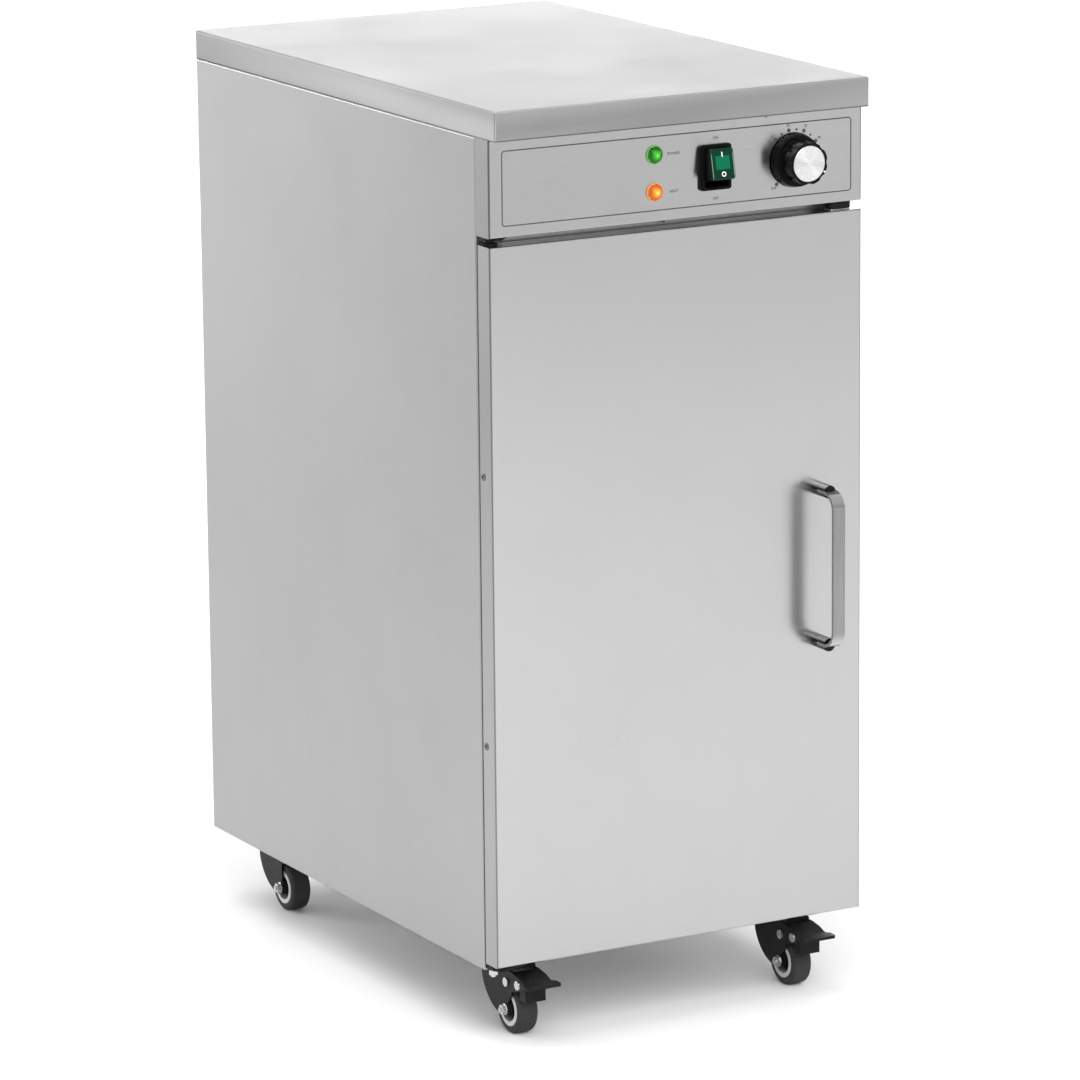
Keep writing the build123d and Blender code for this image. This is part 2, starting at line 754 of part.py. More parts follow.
# Thermostat: a body with a threaded nose and nut, a capillary and the sensing bulb.
thermostat_front = panel_back + 6
thermostat_body = (40, 34, 24)
spindle_back = thermostat_front + 10
nose_radius = knob_hole
nut_flats = 14
capillary_radius = 1.2
capillary_top = panel_bottom + 24
capillary_run = liner_rear + 12
bulb_length = 80
with BuildPart() as spindle:
    with BuildSketch(wall(spindle_back)):
        with Locations((knob_x, knob_z)):
            Circle(spindle_radius)
    extrude(amount=spindle_back - knob_back)
    with BuildSketch(wall(knob_back)):
        with Locations((knob_x, knob_z)):
            Circle(spindle_radius)
        with Locations((knob_x, knob_z + flat_cut)):
            Rectangle(4 * spindle_radius, spindle_radius, align=flat_side, mode=Mode.SUBTRACT)
    extrude(amount=spindle_grip)
keep(spindle, "thermostat_spindle")

with BuildPart() as thermostat:
    with BuildSketch(wall(thermostat_front + thermostat_body[2])):
        with Locations((knob_x, knob_z)):
            RectangleRounded(thermostat_body[0], thermostat_body[1], 3)
    extrude(amount=thermostat_body[2])
    with BuildSketch(wall(thermostat_front)):
        with Locations((knob_x, knob_z)):
            Circle(nose_radius)
    extrude(amount=thermostat_front - door_face)
    with BuildSketch(wall(thermostat_front)):
        with Locations((knob_x, knob_z)):
            RegularPolygon(nut_flats / 2, 6, major_radius=False)
    extrude(amount=thermostat_front - panel_back)
    with BuildSketch(wall(spindle_back + running_gap)):
        with Locations((knob_x, knob_z)):
            Circle(spindle_radius + bore_gap)
    extrude(amount=spindle_back + running_gap - door_face, mode=Mode.SUBTRACT)
    with BuildLine() as capillary:
        FilletPolyline(
            (knob_x, thermostat_front + thermostat_body[2] - 1, knob_z),
            (knob_x, thermostat_front + thermostat_body[2] + 30, knob_z),
            (bulb_x, thermostat_front + thermostat_body[2] + 70, capillary_top),
            (bulb_x, capillary_run, capillary_top),
            (bulb_x, capillary_run, bulb_z),
            (bulb_x, liner_back - 2, bulb_z),
            radius=9,
        )
    with BuildSketch(wall(thermostat_front + thermostat_body[2] - 1)):
        with Locations((knob_x, knob_z)):
            Circle(capillary_radius)
    sweep(path=capillary.wire())
    with BuildSketch(wall(liner_rear + 2)):
        with Locations((bulb_x, bulb_z)):
            Circle(bulb_radius)
    extrude(amount=bulb_length)
keep(thermostat, "thermostat")

# Safety cut-out: a disc thermostat on a flange against the outside of the liner.
cutout_x = -60
cutout_z = opening_top - 24
with BuildPart() as cutout:
    with BuildSketch(wall(liner_rear + 1)):
        with Locations((cutout_x, cutout_z)):
            SlotOverall(32, 16)
    extrude(amount=1)
    with BuildSketch(wall(liner_rear + 10)):
        with Locations((cutout_x, cutout_z)):
            Circle(8)
    extrude(amount=9)
    with BuildSketch(wall(liner_rear + 17)):
        with Locations((cutout_x, cutout_z)):
            with GridLocations(9, 1, 2, 1):
                Rectangle(0.8, 6.3)
    extrude(amount=7)
keep(cutout, "safety_cutout")

# Terminal block: a moulded strip with three pairs of clamps on the back panel.
block_x = gland_x + 65
block_size = (48, 22, 16)
pole_pitch = 14
with BuildPart() as terminal_block:
    with BuildSketch(wall(rear_skin)):
        with Locations((block_x, service_z)):
            Rectangle(block_size[0], block_size[1])
    extrude(amount=block_size[2])
    with BuildSketch(wall(rear_skin - block_size[2])):
        with Locations((block_x, service_z)):
            with GridLocations(pole_pitch, 11, 3, 2):
                Circle(2.5)
    extrude(amount=-8, mode=Mode.SUBTRACT)
    with BuildSketch(Plane.XY.offset(service_z + block_size[1] / 2)):
        with Locations((block_x, rear_skin - block_size[2] / 2)):
            with GridLocations(pole_pitch, 1, 2, 1):
                Rectangle(2, block_size[2] / 2, align=(Align.CENTER, Align.MAX))
    extrude(amount=-block_size[1], mode=Mode.SUBTRACT)
keep(terminal_block, "terminal_block")

# Cable gland: a threaded stem with an inside nut, an outside hexagon and a domed nut.
gland_flats = 22
gland_hex = 6
gland_nut = 4
with BuildPart() as gland:
    with BuildSketch(Plane.XY):
        with BuildLine():
            Polyline(
                (gland_bore, rear_skin - gland_nut - 4),
                (gland_thread - bore_gap, rear_skin - gland_nut - 4),
                (gland_thread - bore_gap, lid_back + gland_hex),
                (gland_thread + 1, lid_back + gland_hex),
                (gland_thread + 1, lid_back + gland_reach - 5),
                (gland_bore + 2, lid_back + gland_reach),
                (gland_bore, lid_back + gland_reach),
                close=True,
            )
        make_face()
    revolve(axis=Axis.Y)
    for back, depth in ((lid_back + gland_hex, gland_hex), (rear_skin, gland_nut)):
        with BuildSketch(wall(back)):
            RegularPolygon(gland_flats / 2, 6, major_radius=False)
            Circle(gland_bore, mode=Mode.SUBTRACT)
        extrude(amount=depth)
with BuildPart() as cable_gland:
    with Locations((gland_x, 0, service_z)):
        add(gland.part)
keep(cable_gland, "cable_gland")

# ==== door ============================================================================

door_mid_z = (door_bottom + door_top) / 2
inner_half = half_width - sheet - running_gap / 2
handle_feet = (handle_bottom + handle_bar / 2, handle_bottom + handle_height - handle_bar / 2)
nut_depth = 5
side_screw_rises = (212.7, 469.9)  # above the door's lower edge
side_screw_y = door_back - 6
with BuildPart() as door_outer:
    with BuildSketch(Plane.XY.offset(door_bottom)):
        with Locations((0, (door_face + door_back) / 2)):
            Rectangle(cabinet_width, door_thickness)
    extrude(amount=door_height)
    fillet(door_outer.faces().sort_by(Axis.Y)[0].edges(), fold_radius)
    offset(amount=-sheet, openings=door_outer.faces().sort_by(Axis.Y)[-1])
    with BuildSketch(wall(door_face + sheet)):
        with Locations([(handle_x, z) for z in handle_feet]):
            Circle(stud_radius + bore_gap)
    extrude(amount=sheet, mode=Mode.SUBTRACT)
    with BuildSketch(Plane.XY.offset(door_bottom)):
        with Locations((pivot_x, pivot_y)):
            Circle(bush_radius + bore_gap)
    extrude(amount=door_height, mode=Mode.SUBTRACT)
    with BuildSketch(Plane.YZ.offset(-half_width)):
        with Locations([(side_screw_y, door_bottom + rise) for rise in side_screw_rises]):
            Circle(screw_radius + bore_gap)
    extrude(amount=cabinet_width, mode=Mode.SUBTRACT)
keep(door_outer, "door_outer")

# Door inner skin: a shallow tray pushed into the outer one, edges forwards.
with BuildPart() as door_inner:
    with BuildSketch(Plane.XY.offset(door_mid_z)):
        with Locations((0, door_back - door_tray / 2)):
            Rectangle(2 * inner_half, door_tray)
    inner_rise = door_height / 2 - sheet - running_gap / 2
    extrude(amount=inner_rise, both=True)
    fillet(door_inner.faces().sort_by(Axis.Y)[-1].edges(), fold_radius)
    offset(amount=-sheet, openings=door_inner.faces().sort_by(Axis.Y)[0])
    with BuildSketch(Plane.XY.offset(door_bottom)):
        with Locations((pivot_x, pivot_y)):
            Circle(bush_radius + bore_gap)
    extrude(amount=door_height, mode=Mode.SUBTRACT)
    with BuildSketch(Plane.YZ.offset(-half_width)):
        with Locations([(side_screw_y, door_bottom + rise) for rise in side_screw_rises]):
            Circle(screw_radius + bore_gap)
    extrude(amount=cabinet_width, mode=Mode.SUBTRACT)
keep(door_inner, "door_inner")

with BuildPart() as door_insulation:
    with BuildSketch(wall(door_back - sheet)):
        with Locations((0, door_mid_z)):
            Rectangle(2 * opening_half - 8, door_height - 48)
    extrude(amount=door_thickness - 2 * sheet)
    with BuildSketch(wall(door_face + sheet + nut_depth + 4)):
        with Locations([(handle_x, z) for z in handle_feet]):
            Circle(9)
    extrude(amount=nut_depth + 4, mode=Mode.SUBTRACT)
keep(door_insulation, "door_insulation")

# Door seal: a silicone strip round the opening with a rounded face.
seal_middle = 4 + gasket_width / 2  # outside the opening's edge
seal_depth = door_gap - running_gap
with BuildPart() as door_gasket:
    with BuildSketch(wall(door_back)):
        with Locations((0, (opening_bottom + opening_top) / 2)):
            across = 2 * (opening_half + seal_middle)
            along = opening_top - opening_bottom + 2 * seal_middle
            Rectangle(across + gasket_width, along + gasket_width)
            Rectangle(across - gasket_width, along - gasket_width, mode=Mode.SUBTRACT)
    extrude(amount=-seal_depth)
    chamfer(door_gasket.faces().sort_by(Axis.Y)[-1].edges(), 1.2)
keep(door_gasket, "door_gasket")

# Handle: a flat bar bent to a D, with a round stub and a threaded stud at each foot.
handle_front = door_face - handle_standoff
with BuildPart() as door_handle:
    with BuildSketch(Plane.YZ.offset(handle_x - handle_width / 2)):
        with BuildLine():
            FilletPolyline(
                (door_face - stub_length / 2, handle_feet[0]),
                (handle_front + handle_bar / 2, handle_feet[0]),
                (handle_front + handle_bar / 2, handle_feet[1]),
                (door_face - stub_length / 2, handle_feet[1]),
                radius=handle_bend,
            )
            offset(amount=handle_bar / 2, side=Side.BOTH)
        make_face()
    extrude(amount=handle_width)
    with BuildSketch(wall(door_face)):
        with Locations([(handle_x, z) for z in handle_feet]):
            Circle(stub_radius)
    extrude(amount=stub_length)
    stub_rims = door_handle.edges().filter_by(GeomType.CIRCLE).filter_by(
        lambda e: abs(e.radius - stub_radius) < 0.01 and e.center().Y < door_face - stub_length / 2
    )
    fillet(stub_rims, stub_round)
    with BuildSketch(wall(door_face + sheet + nut_depth + 2)):
        with Locations([(handle_x, z) for z in handle_feet]):
            Circle(stud_radius)
    extrude(amount=sheet + nut_depth + 2)
keep(door_handle, "door_handle")

with BuildPart() as handle_nuts:
    with BuildSketch(wall(door_face + sheet + nut_depth)):
        with Locations([(handle_x, z) for z in handle_feet]):
            RegularPolygon(4, 6, major_radius=False)
            Circle(stud_radius + bore_gap, mode=Mode.SUBTRACT)
    extrude(amount=nut_depth)
keep(handle_nuts, "handle_nuts")

# Hinge bushes: flanged plastic sleeves in the door's top and bottom edges.
with BuildPart() as hinge_bushes:
    for face_z, step in ((door_bottom, 1), (door_top, -1)):
        with BuildSketch(Plane.XY.offset(face_z)):
            with Locations((pivot_x, pivot_y)):
                Circle(bush_radius)
                Circle(pivot_radius + bore_gap, mode=Mode.SUBTRACT)
        extrude(amount=step * bush_length)
        with BuildSketch(Plane.XY.offset(face_z)):
            with Locations((pivot_x, pivot_y)):
                Circle(bush_flange_radius - fit)
                Circle(pivot_radius + bore_gap, mode=Mode.SUBTRACT)
        extrude(amount=-step * bush_flange)
keep(hinge_bushes, "hinge_bushes")

# Lower hinge plate: passes through the frame on to the base and carries the door's pin.
plate_nose = 10
plate_nut = ((5, 1, 0), (4, 5, 6), (2.5, 2, 0))  # washer, nut, thread: radius, thickness, sides
plate_nut_inset = (7, 5.5)
plate_left = -half_width + 2
plate_right = tail_x[1] - fit
tail_left = tail_x[0] + fit
tail_end = frame_back + 17
with BuildPart() as hinge_lower:
    with BuildSketch(Plane.XY.offset(base_top)):
        with BuildLine():
            Polyline(
                (plate_left, pivot_y - 2),
                (plate_left, body_front - running_gap),
                (tail_left, body_front - running_gap),
                (tail_left, tail_end),
                (plate_right, tail_end),
                (plate_right, pivot_y),
                (pivot_x + 7, pivot_y - plate_nose),
                (pivot_x, pivot_y - plate_nose),
                close=True,
            )
        make_face()
    extrude(amount=pivot_plate)
    with BuildSketch(Plane.XY.offset(pivot_top)):
        with Locations((pivot_x, pivot_y)):
            Circle(pivot_radius)
    extrude(amount=bush_length)
    level = base_top
    for radius, thick, sides in plate_nut:
        with BuildSketch(Plane.XY.offset(level)):
            with Locations((-half_width + plate_nut_inset[0], body_front - plate_nut_inset[1])):
                if sides:
                    RegularPolygon(radius, sides, major_radius=False)
                else:
                    Circle(radius)
        extrude(amount=-thick)
        level -= thick
keep(hinge_lower, "hinge_bracket_lower")

# Upper hinge bracket: an angle on the side panel's return, inside the control panel.
hinge_rise = 30
with BuildPart() as hinge_upper:
    with BuildSketch(Plane.XY.offset(panel_bottom - pivot_plate)):
        with BuildLine():
            Polyline(
                (plate_left, pivot_y - 2),
                (plate_left, body_front),
                (-opening_half - 2, body_front),
                (-opening_half - 2, pivot_y),
                (pivot_x + 7, pivot_y - plate_nose),
                (pivot_x, pivot_y - plate_nose),
                close=True,
            )
        make_face()
    extrude(amount=pivot_plate)
    with BuildSketch(wall(body_front)):
        with Locations(((plate_left + 1 - opening_half - 2) / 2, panel_bottom)):
            leg_width = plate_left + 1 + opening_half + 2
            Rectangle(abs(leg_width), hinge_rise, align=(Align.CENTER, Align.MIN))
    extrude(amount=hinge_leg)
    with BuildSketch(Plane.XY.offset(panel_bottom - pivot_plate)):
        with Locations((pivot_x, pivot_y)):
            Circle(pivot_radius)
    extrude(amount=-(panel_bottom - pivot_plate - door_top + bush_length - 2))
keep(hinge_upper, "hinge_bracket_upper")

# Catch: a magnet block under the control panel and a steel strike on the door's top edge.
catch_x = half_width - 20
catch_y = door_back - 11
strike_thick = 1
with BuildPart() as catch:
    with BuildSketch(Plane.XY.offset(panel_bottom)):
        with Locations((catch_x, catch_y)):
            RectangleRounded(25, 14, 6)
    extrude(amount=-(panel_bottom - door_top - strike_thick - running_gap))
keep(catch, "door_catch")

with BuildPart() as strike:
    with BuildSketch(Plane.XY.offset(door_top)):
        with Locations((catch_x, catch_y)):
            RectangleRounded(22, 12, 2)
    extrude(amount=strike_thick)
keep(strike, "catch_strike")

# Door side screws: pan heads that join the two skins.
head_radius = 3.8
head_height = 1.1
with BuildPart() as side_screws:
    for sign in (-1, 1):
        places = [(side_screw_y, door_bottom + rise) for rise in side_screw_rises]
        with BuildSketch(Plane.YZ.offset(sign * half_width)):
            with Locations(places):
                Circle(head_radius)
        extrude(amount=sign * head_height)
        with BuildSketch(Plane.YZ.offset(sign * half_width)):
            with Locations(places):
                Circle(screw_radius)
        extrude(amount=-sign * 7)
keep(side_screws, "door_side_screws")

# Cabinet screws: under the lid's lip, under the control panel and on the back panel.
with BuildPart() as cabinet_screws:
    for level, depth, places in (
        (seat_z, 5, lid_screws),
        (panel_bottom, 4, [bottom_screw]),
    ):
        with BuildSketch(Plane.XY.offset(level)):
            with Locations(places):
                Circle(head_radius)
        extrude(amount=-2 * head_height)
        with BuildSketch(Plane.XY.offset(level)):
            with Locations(places):
                Circle(screw_radius)
        extrude(amount=depth)
    with BuildSketch(wall(lid_back)):
        with Locations(panel_screws):
            Circle(head_radius)
    extrude(amount=-head_height)
    with BuildSketch(wall(lid_back)):
        with Locations(panel_screws):
            Circle(screw_radius)
    extrude(amount=4 * sheet)
keep(cabinet_screws, "cabinet_screws")

# ==== casters =========================================================================
# Each is drawn with its swivel axis at x = y = 0, trailing towards the front.

axle_y = -trail
axle_z = wheel_radius
crown_top = mount_z - plate_thick - running_gap
crown_z = crown_top - race_height
crown_low = crown_z - crown_thick
fork_inner = hub_half + running_gap
fork_outer = fork_inner + cheek
bolt_head = 3.5
pin_head = 2

# Mounting plates: square, slotted, each with its riveted kingpin.
with BuildPart() as one_plate:
    with BuildSketch(Plane.XY.offset(mount_z - plate_thick)):
        RectangleRounded(caster_plate, caster_plate, 5)
        with GridLocations(bolt_spacing, bolt_spacing, 2, 2):
            SlotOverall(2 * caster_bolt + 4, 2 * caster_bolt + 0.4, mode=Mode.SUBTRACT)
    extrude(amount=plate_thick)
    with BuildSketch(Plane.XY.offset(crown_low - running_gap)):
        Circle(kingpin_radius)
    extrude(amount=mount_z - plate_thick - crown_low + running_gap)
    with BuildSketch(Plane.XY.offset(crown_low - running_gap)):
        Circle(kingpin_radius + 3)
    extrude(amount=-pin_head)
with BuildPart() as caster_plates:
    with Locations([(x, y, 0) for x, y in plate_centres]):
        add(one_plate.part)
keep(caster_plates, "caster_plates")

with BuildPart() as caster_bolts:
    with BuildSketch(Plane.XY.offset(mount_z - plate_thick)):
        with Locations(bolt_places):
            RegularPolygon(5, 6, major_radius=False)
    extrude(amount=-bolt_head)
    with BuildSketch(Plane.XY.offset(mount_z - plate_thick)):
        with Locations(bolt_places):
            Circle(caster_bolt)
    extrude(amount=plate_thick + base_sheet)
    with BuildSketch(Plane.XY.offset(base_top)):
        with Locations(bolt_places):
            RegularPolygon(5, 6, major_radius=False)
    extrude(amount=5)
keep(caster_bolts, "caster_bolts")

# Fork: a crown with a raised ball race and two pressed cheeks, with its axle bolt.
pivot_at = (axle_y - pedal_pivot[0], pedal_pivot[1])
rivet_radius = 2.5
rivet_head = 4.5
nut_stack = ((5.6, 1, 0), (4.5, 3.6, 6), (2.5, 1.8, 0))  # washer, nut, thread: radius, thickness, sides
head_stack = ((5.6, 1, 0), (4.5, 3, 6))
pedal_inner = fork_outer + running_gap
pedal_outer = pedal_inner + pedal_sheet


def build_fork(braked):
    front = axle_y - (pedal_pivot[0] + 6.5 if braked else 3.5)
    rear = crown_radius - 2
    with BuildPart() as fork:
        with BuildSketch(Plane.YZ.offset(-fork_outer)):
            with BuildLine():
                Polyline(
                    (axle_y - 3.5, axle_z),
                    (axle_y - 3.5, axle_z + 6),
                    (front, axle_z + 17),
                    (front, crown_z),
                    (rear, crown_z),
                    (rear - 1, crown_z - 20),
                )
                ThreePointArc((rear - 1, crown_z - 20), (6, axle_z + 2.5), (axle_y + 7, axle_z - 7))
                Line((axle_y + 7, axle_z - 7), (axle_y - 3.5, axle_z))
            make_face()
            with Locations((axle_y, axle_z)):
                Circle(ear_radius)
        extrude(amount=cheek)
        with BuildSketch(Plane.YZ.offset(-fork_inner)):
            with Locations((axle_y, axle_z)):
                Circle(axle_radius + bore_gap)
        extrude(amount=-cheek, mode=Mode.SUBTRACT)
        mirror(about=Plane.YZ)
        with BuildSketch(Plane.XY.offset(crown_low)):
            Circle(crown_radius)
            with Locations((0, front)):
                Rectangle(2 * fork_outer, -front, align=(Align.CENTER, Align.MIN))
        extrude(amount=crown_thick)
        with BuildSketch(Plane.XY.offset(crown_z)):
            Circle(race_radius)
        extrude(amount=race_height, taper=14)
        with BuildSketch(Plane.XY.offset(crown_low)):
            Circle(kingpin_radius + bore_gap)
        extrude(amount=crown_thick + race_height, mode=Mode.SUBTRACT)
        if braked:
            with BuildSketch(Plane.YZ.offset(-pedal_outer - running_gap)):
                with Locations(pivot_at):
                    Circle(rivet_radius)
            extrude(amount=2 * (pedal_outer + running_gap))
            with BuildSketch(Plane.YZ.offset(-pedal_outer - running_gap)):
                with Locations(pivot_at):
                    Circle(rivet_head)
            extrude(amount=-1.5)
            with BuildSketch(Plane.YZ.offset(pedal_outer + running_gap)):
                with Locations(pivot_at):
                    Circle(rivet_head)
            extrude(amount=1.5)
        with BuildSketch(Plane.YZ.offset(-fork_outer)):
            with Locations((axle_y, axle_z)):
                Circle(axle_radius)
        extrude(amount=2 * fork_outer)
        for outward, stack in ((-1, nut_stack), (1, head_stack)):
            side = outward * fork_outer
            for radius, thick, sides in stack:
                with BuildSketch(Plane.YZ.offset(side)):
                    with Locations((axle_y, axle_z)):
                        if sides:
                            RegularPolygon(radius, sides, major_radius=False)
                        else:
                            Circle(radius)
                extrude(amount=outward * thick)
                side += outward * thick
    return fork


# Wheel: hub, web and rim turned in one, with the tread moulded round it.
axle_line = Axis((0, axle_y, axle_z), (1, 0, 0))
rim_inner = rim_radius - rim_lip
with BuildPart() as wheel:
    with BuildSketch(Plane.XZ.offset(-axle_y)):
        with BuildLine():
            Polyline(
                (-hub_half, axle_z + axle_radius + bore_gap),
                (-hub_half, axle_z + hub_radius),
                (-3, axle_z + hub_radius),
                (-3, axle_z + rim_inner),
                (-tyre_half, axle_z + rim_inner),
                (-tyre_half, axle_z + rim_radius),
                (tyre_half, axle_z + rim_radius),
                (tyre_half, axle_z + rim_inner),
                (3, axle_z + rim_inner),
                (3, axle_z + hub_radius),
                (hub_half, axle_z + hub_radius),
                (hub_half, axle_z + axle_radius + bore_gap),
                close=True,
            )
        make_face()
    revolve(axis=axle_line)

with BuildPart() as tyre:
    with BuildSketch(Plane.XZ.offset(-axle_y)):
        with BuildLine():
            Polyline(
                (-tyre_half + tyre_shoulder[0], axle_z + wheel_radius),
                (-tyre_half, axle_z + wheel_radius - tyre_shoulder[1]),
                (-tyre_half, axle_z + rim_radius),
                (tyre_half, axle_z + rim_radius),
                (tyre_half, axle_z + wheel_radius - tyre_shoulder[1]),
                (tyre_half - tyre_shoulder[0], axle_z + wheel_radius),
                close=True,
            )
        make_face()
    revolve(axis=axle_line)

# Brake pedal: a channel round the fork with a flared tread and a curved shoe.
tread_front = axle_y - pedal_reach
tread_high = axle_z + 35.5
tread_sheet = 3.5
slope_top = crown_low - 1
flange_low = axle_z + 20
slope_back = axle_y - 16
slope_front = axle_y - 30
tread_back = axle_y - 38
flare_back = axle_y - 41
flange_front = axle_y - 41
shoe_half = tyre_half + 0.5
shoe_back = axle_y - 24
shoe_front = axle_y - 36
shoe_low = axle_z + 14.5
flare = pedal_half - pedal_outer
with BuildPart() as pedal:
    with BuildSketch(Plane.YZ.offset(-pedal_half)):
        with BuildLine():
            Polyline(
                (slope_back, slope_top),
                (slope_front, tread_high + 3),
                (tread_back, tread_high),
                (tread_front, tread_high - 0.5),
                (tread_front, tread_high - tread_sheet),
                (tread_back, tread_high - tread_sheet + 1),
                (slope_front, tread_high + 1),
                (slope_back, slope_top - 2),
                close=True,
            )
        make_face()
    extrude(amount=2 * pedal_half)
    with BuildSketch(Plane.XY.offset(flange_low)):
        with BuildLine():
            Polyline(
                (-pedal_outer, pivot_at[0] + 5),
                (-pedal_outer, flare_back),
                (-pedal_half, flare_back - flare),
                (-pedal_half, tread_front),
                (pedal_half, tread_front),
                (pedal_half, flare_back - flare),
                (pedal_outer, flare_back),
                (pedal_outer, pivot_at[0] + 5),
                close=True,
            )
        make_face()
    extrude(amount=crown_z - flange_low, mode=Mode.INTERSECT)
    front_corners = pedal.edges().filter_by(Axis.Z).group_by(Axis.Y)[0]
    fillet(front_corners, 2.5)
    for side in (-pedal_outer, pedal_inner):
        with BuildSketch(Plane.YZ.offset(side)):
            with BuildLine():
                Polyline(
                    (pivot_at[0] + 5, pivot_at[1] - 5),
                    (pivot_at[0] + 5, slope_top - 4),
                    (pivot_at[0] + 1, slope_top),
                    (slope_back, slope_top),
                    (slope_front, tread_high + 3),
                    (tread_back, tread_high),
                    (flange_front, tread_high - 0.5),
                    (flange_front, tread_high - 7.5),
                    (axle_y - 12, flange_low),
                    close=True,
                )
            make_face()
        extrude(amount=pedal_sheet)
    with BuildSketch(Plane.YZ.offset(-shoe_half)):
        with Locations((shoe_back, shoe_low)):
            shoe_rise = tread_high - shoe_low
            Rectangle(shoe_back - shoe_front, shoe_rise, align=(Align.MAX, Align.MIN))
        with Locations((axle_y, axle_z)):
            Circle(wheel_radius + brake_gap, mode=Mode.SUBTRACT)
    extrude(amount=2 * shoe_half)
    with BuildSketch(Plane.YZ.offset(-pedal_outer)):
        with Locations(pivot_at):
            Circle(rivet_radius + bore_gap)
    extrude(amount=2 * pedal_outer, mode=Mode.SUBTRACT)
    for sign in (-1, 1):
        with BuildSketch(Plane.YZ.offset(sign * pedal_outer)):
            with Locations((pivot_at[0] - 22, pivot_at[1] + 2)):
                Circle(rivet_head)
        extrude(amount=sign * 1.5)

forks = {True: build_fork(True), False: build_fork(False)}
corners = [
    ("front_left", -caster_x, lid_front + caster_front, True),
    ("front_right", caster_x, lid_front + caster_front, True),
    ("rear_left", -caster_x, lid_front + caster_front + caster_spread, False),
    ("rear_right", caster_x, lid_front + caster_front + caster_spread, False),
]
for corner, x, y, braked in corners:
    shapes = {"caster_fork": forks[braked], "caster_wheel": wheel, "caster_tyre": tyre}
    if braked:
        shapes["brake_pedal"] = pedal
    for kind, shape in shapes.items():
        with BuildPart() as caster_piece:
            with Locations((x, y, 0)):
                add(shape.part)
        keep(caster_piece, f"{kind}_{corner}")
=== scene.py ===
import json
from math import cos, pi, radians, sin

import bmesh
import bpy
from mathutils import Matrix, Vector


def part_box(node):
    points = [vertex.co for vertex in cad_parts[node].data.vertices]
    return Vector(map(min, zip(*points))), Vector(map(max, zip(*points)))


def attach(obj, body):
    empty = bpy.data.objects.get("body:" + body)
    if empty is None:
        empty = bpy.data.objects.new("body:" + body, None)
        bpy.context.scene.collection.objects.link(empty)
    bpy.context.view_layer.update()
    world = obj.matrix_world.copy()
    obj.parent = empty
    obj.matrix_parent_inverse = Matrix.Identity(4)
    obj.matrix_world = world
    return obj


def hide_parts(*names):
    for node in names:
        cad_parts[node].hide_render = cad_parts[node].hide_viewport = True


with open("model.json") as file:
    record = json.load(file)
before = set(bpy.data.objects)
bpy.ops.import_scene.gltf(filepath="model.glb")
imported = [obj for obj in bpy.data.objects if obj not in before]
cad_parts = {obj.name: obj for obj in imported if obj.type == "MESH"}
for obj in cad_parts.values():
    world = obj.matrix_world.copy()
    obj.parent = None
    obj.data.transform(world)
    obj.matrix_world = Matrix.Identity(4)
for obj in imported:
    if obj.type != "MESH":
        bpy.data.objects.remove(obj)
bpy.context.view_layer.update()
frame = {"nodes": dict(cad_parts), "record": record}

scene = bpy.context.scene
nodes = frame["nodes"]
record = frame["record"]
bodyOf = {node: body for body, group in record["behaviour"]["bodies"].items() for node in group}
mm = 0.001
toFront = Matrix.Rotation(radians(90), 4, "X")  # turns a drawing that lies flat to face -Y


def middleOf(node):
    low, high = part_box(node)
    return (low + high) / 2


def table(columns, **rows):
    # a dictionary for each row; a short row leaves its last columns out
    return {name: dict(zip(columns.split(), row)) for name, row in rows.items()}


def makeAll(maker, rows, **same):
    for name, values in rows.items():
        maker(name, **values, **same)


finishes = {}
draft = {}  # "tree": the node tree that is being drawn; "result": what it gives out


def newNode(kind):
    return draft["tree"].nodes.new(kind)


def fillSocket(socket, value):
    # a list goes to a socket that takes many links
    if isinstance(value, (bpy.types.NodeSocket, list)):
        for part in value if isinstance(value, list) else [value]:
            draft["tree"].links.new(part, socket)
    else:
        socket.default_value = (*value, 1) if socket.type == "RGBA" else value


def fill(sockets, **values):
    # sockets by name, with _ for a space
    for name, value in values.items():
        fillSocket(sockets[name.replace("_", " ")], value)


def addNode(kind, *values, **named):
    # values: its first inputs; named: a small letter starts a setting, a capital an input
    node = newNode(kind)
    for name in [name for name in named if name[0].islower()]:
        setattr(node, name, named.pop(name))
    for socket, value in zip(node.inputs, values):
        fillSocket(socket, value)
    fill(node.inputs, **named)
    return node.outputs


def kindOf(value):
    if isinstance(value, str):
        return value
    if isinstance(value, tuple):
        return "Color" if len(value) == 4 else "Vector"
    return "Int" if isinstance(value, int) else "Float"


def newGroup(name, kind, outputs, **inputs):
    # each input by its default or its socket's kind, and each output by its kind
    draft["tree"] = bpy.data.node_groups.new(name, kind)
    for side, listed in (("INPUT", inputs), ("OUTPUT", outputs)):
        for label, value in listed.items():
            socket = draft["tree"].interface.new_socket(
                label.replace("_", " "), in_out=side, socket_type="NodeSocket" + kindOf(value))
            if not isinstance(value, str):
                socket.default_value = value
    draft["result"] = newNode("NodeGroupOutput").inputs
    return newNode("NodeGroupInput").outputs


def giveOut(**outputs):
    fill(draft["result"], **outputs)
    return draft["tree"]


def calc(operation, *values):
    return addNode("ShaderNodeMath", *values, operation=operation)[0]


def vectorMath(operation, *values):
    return addNode("ShaderNodeVectorMath", *values, operation=operation)[0]


def times(*values):
    product = values[0]
    for value in values[1:]:
        product = calc("MULTIPLY", product, value)
    return product


def weighted(*pairs):
    # the sum of values, each with its share
    total = times(*pairs[0])
    for value, share in pairs[1:]:
        total = calc("MULTIPLY_ADD", value, share, total)
    return total


def scaled(vector, share):
    return addNode("ShaderNodeVectorMath", vector, Scale=share, operation="SCALE")[0]


def lengthOf(vector):
    return addNode("ShaderNodeVectorMath", vector, operation="LENGTH")["Value"]


def partsOf(vector):
    return addNode("ShaderNodeSeparateXYZ", vector)


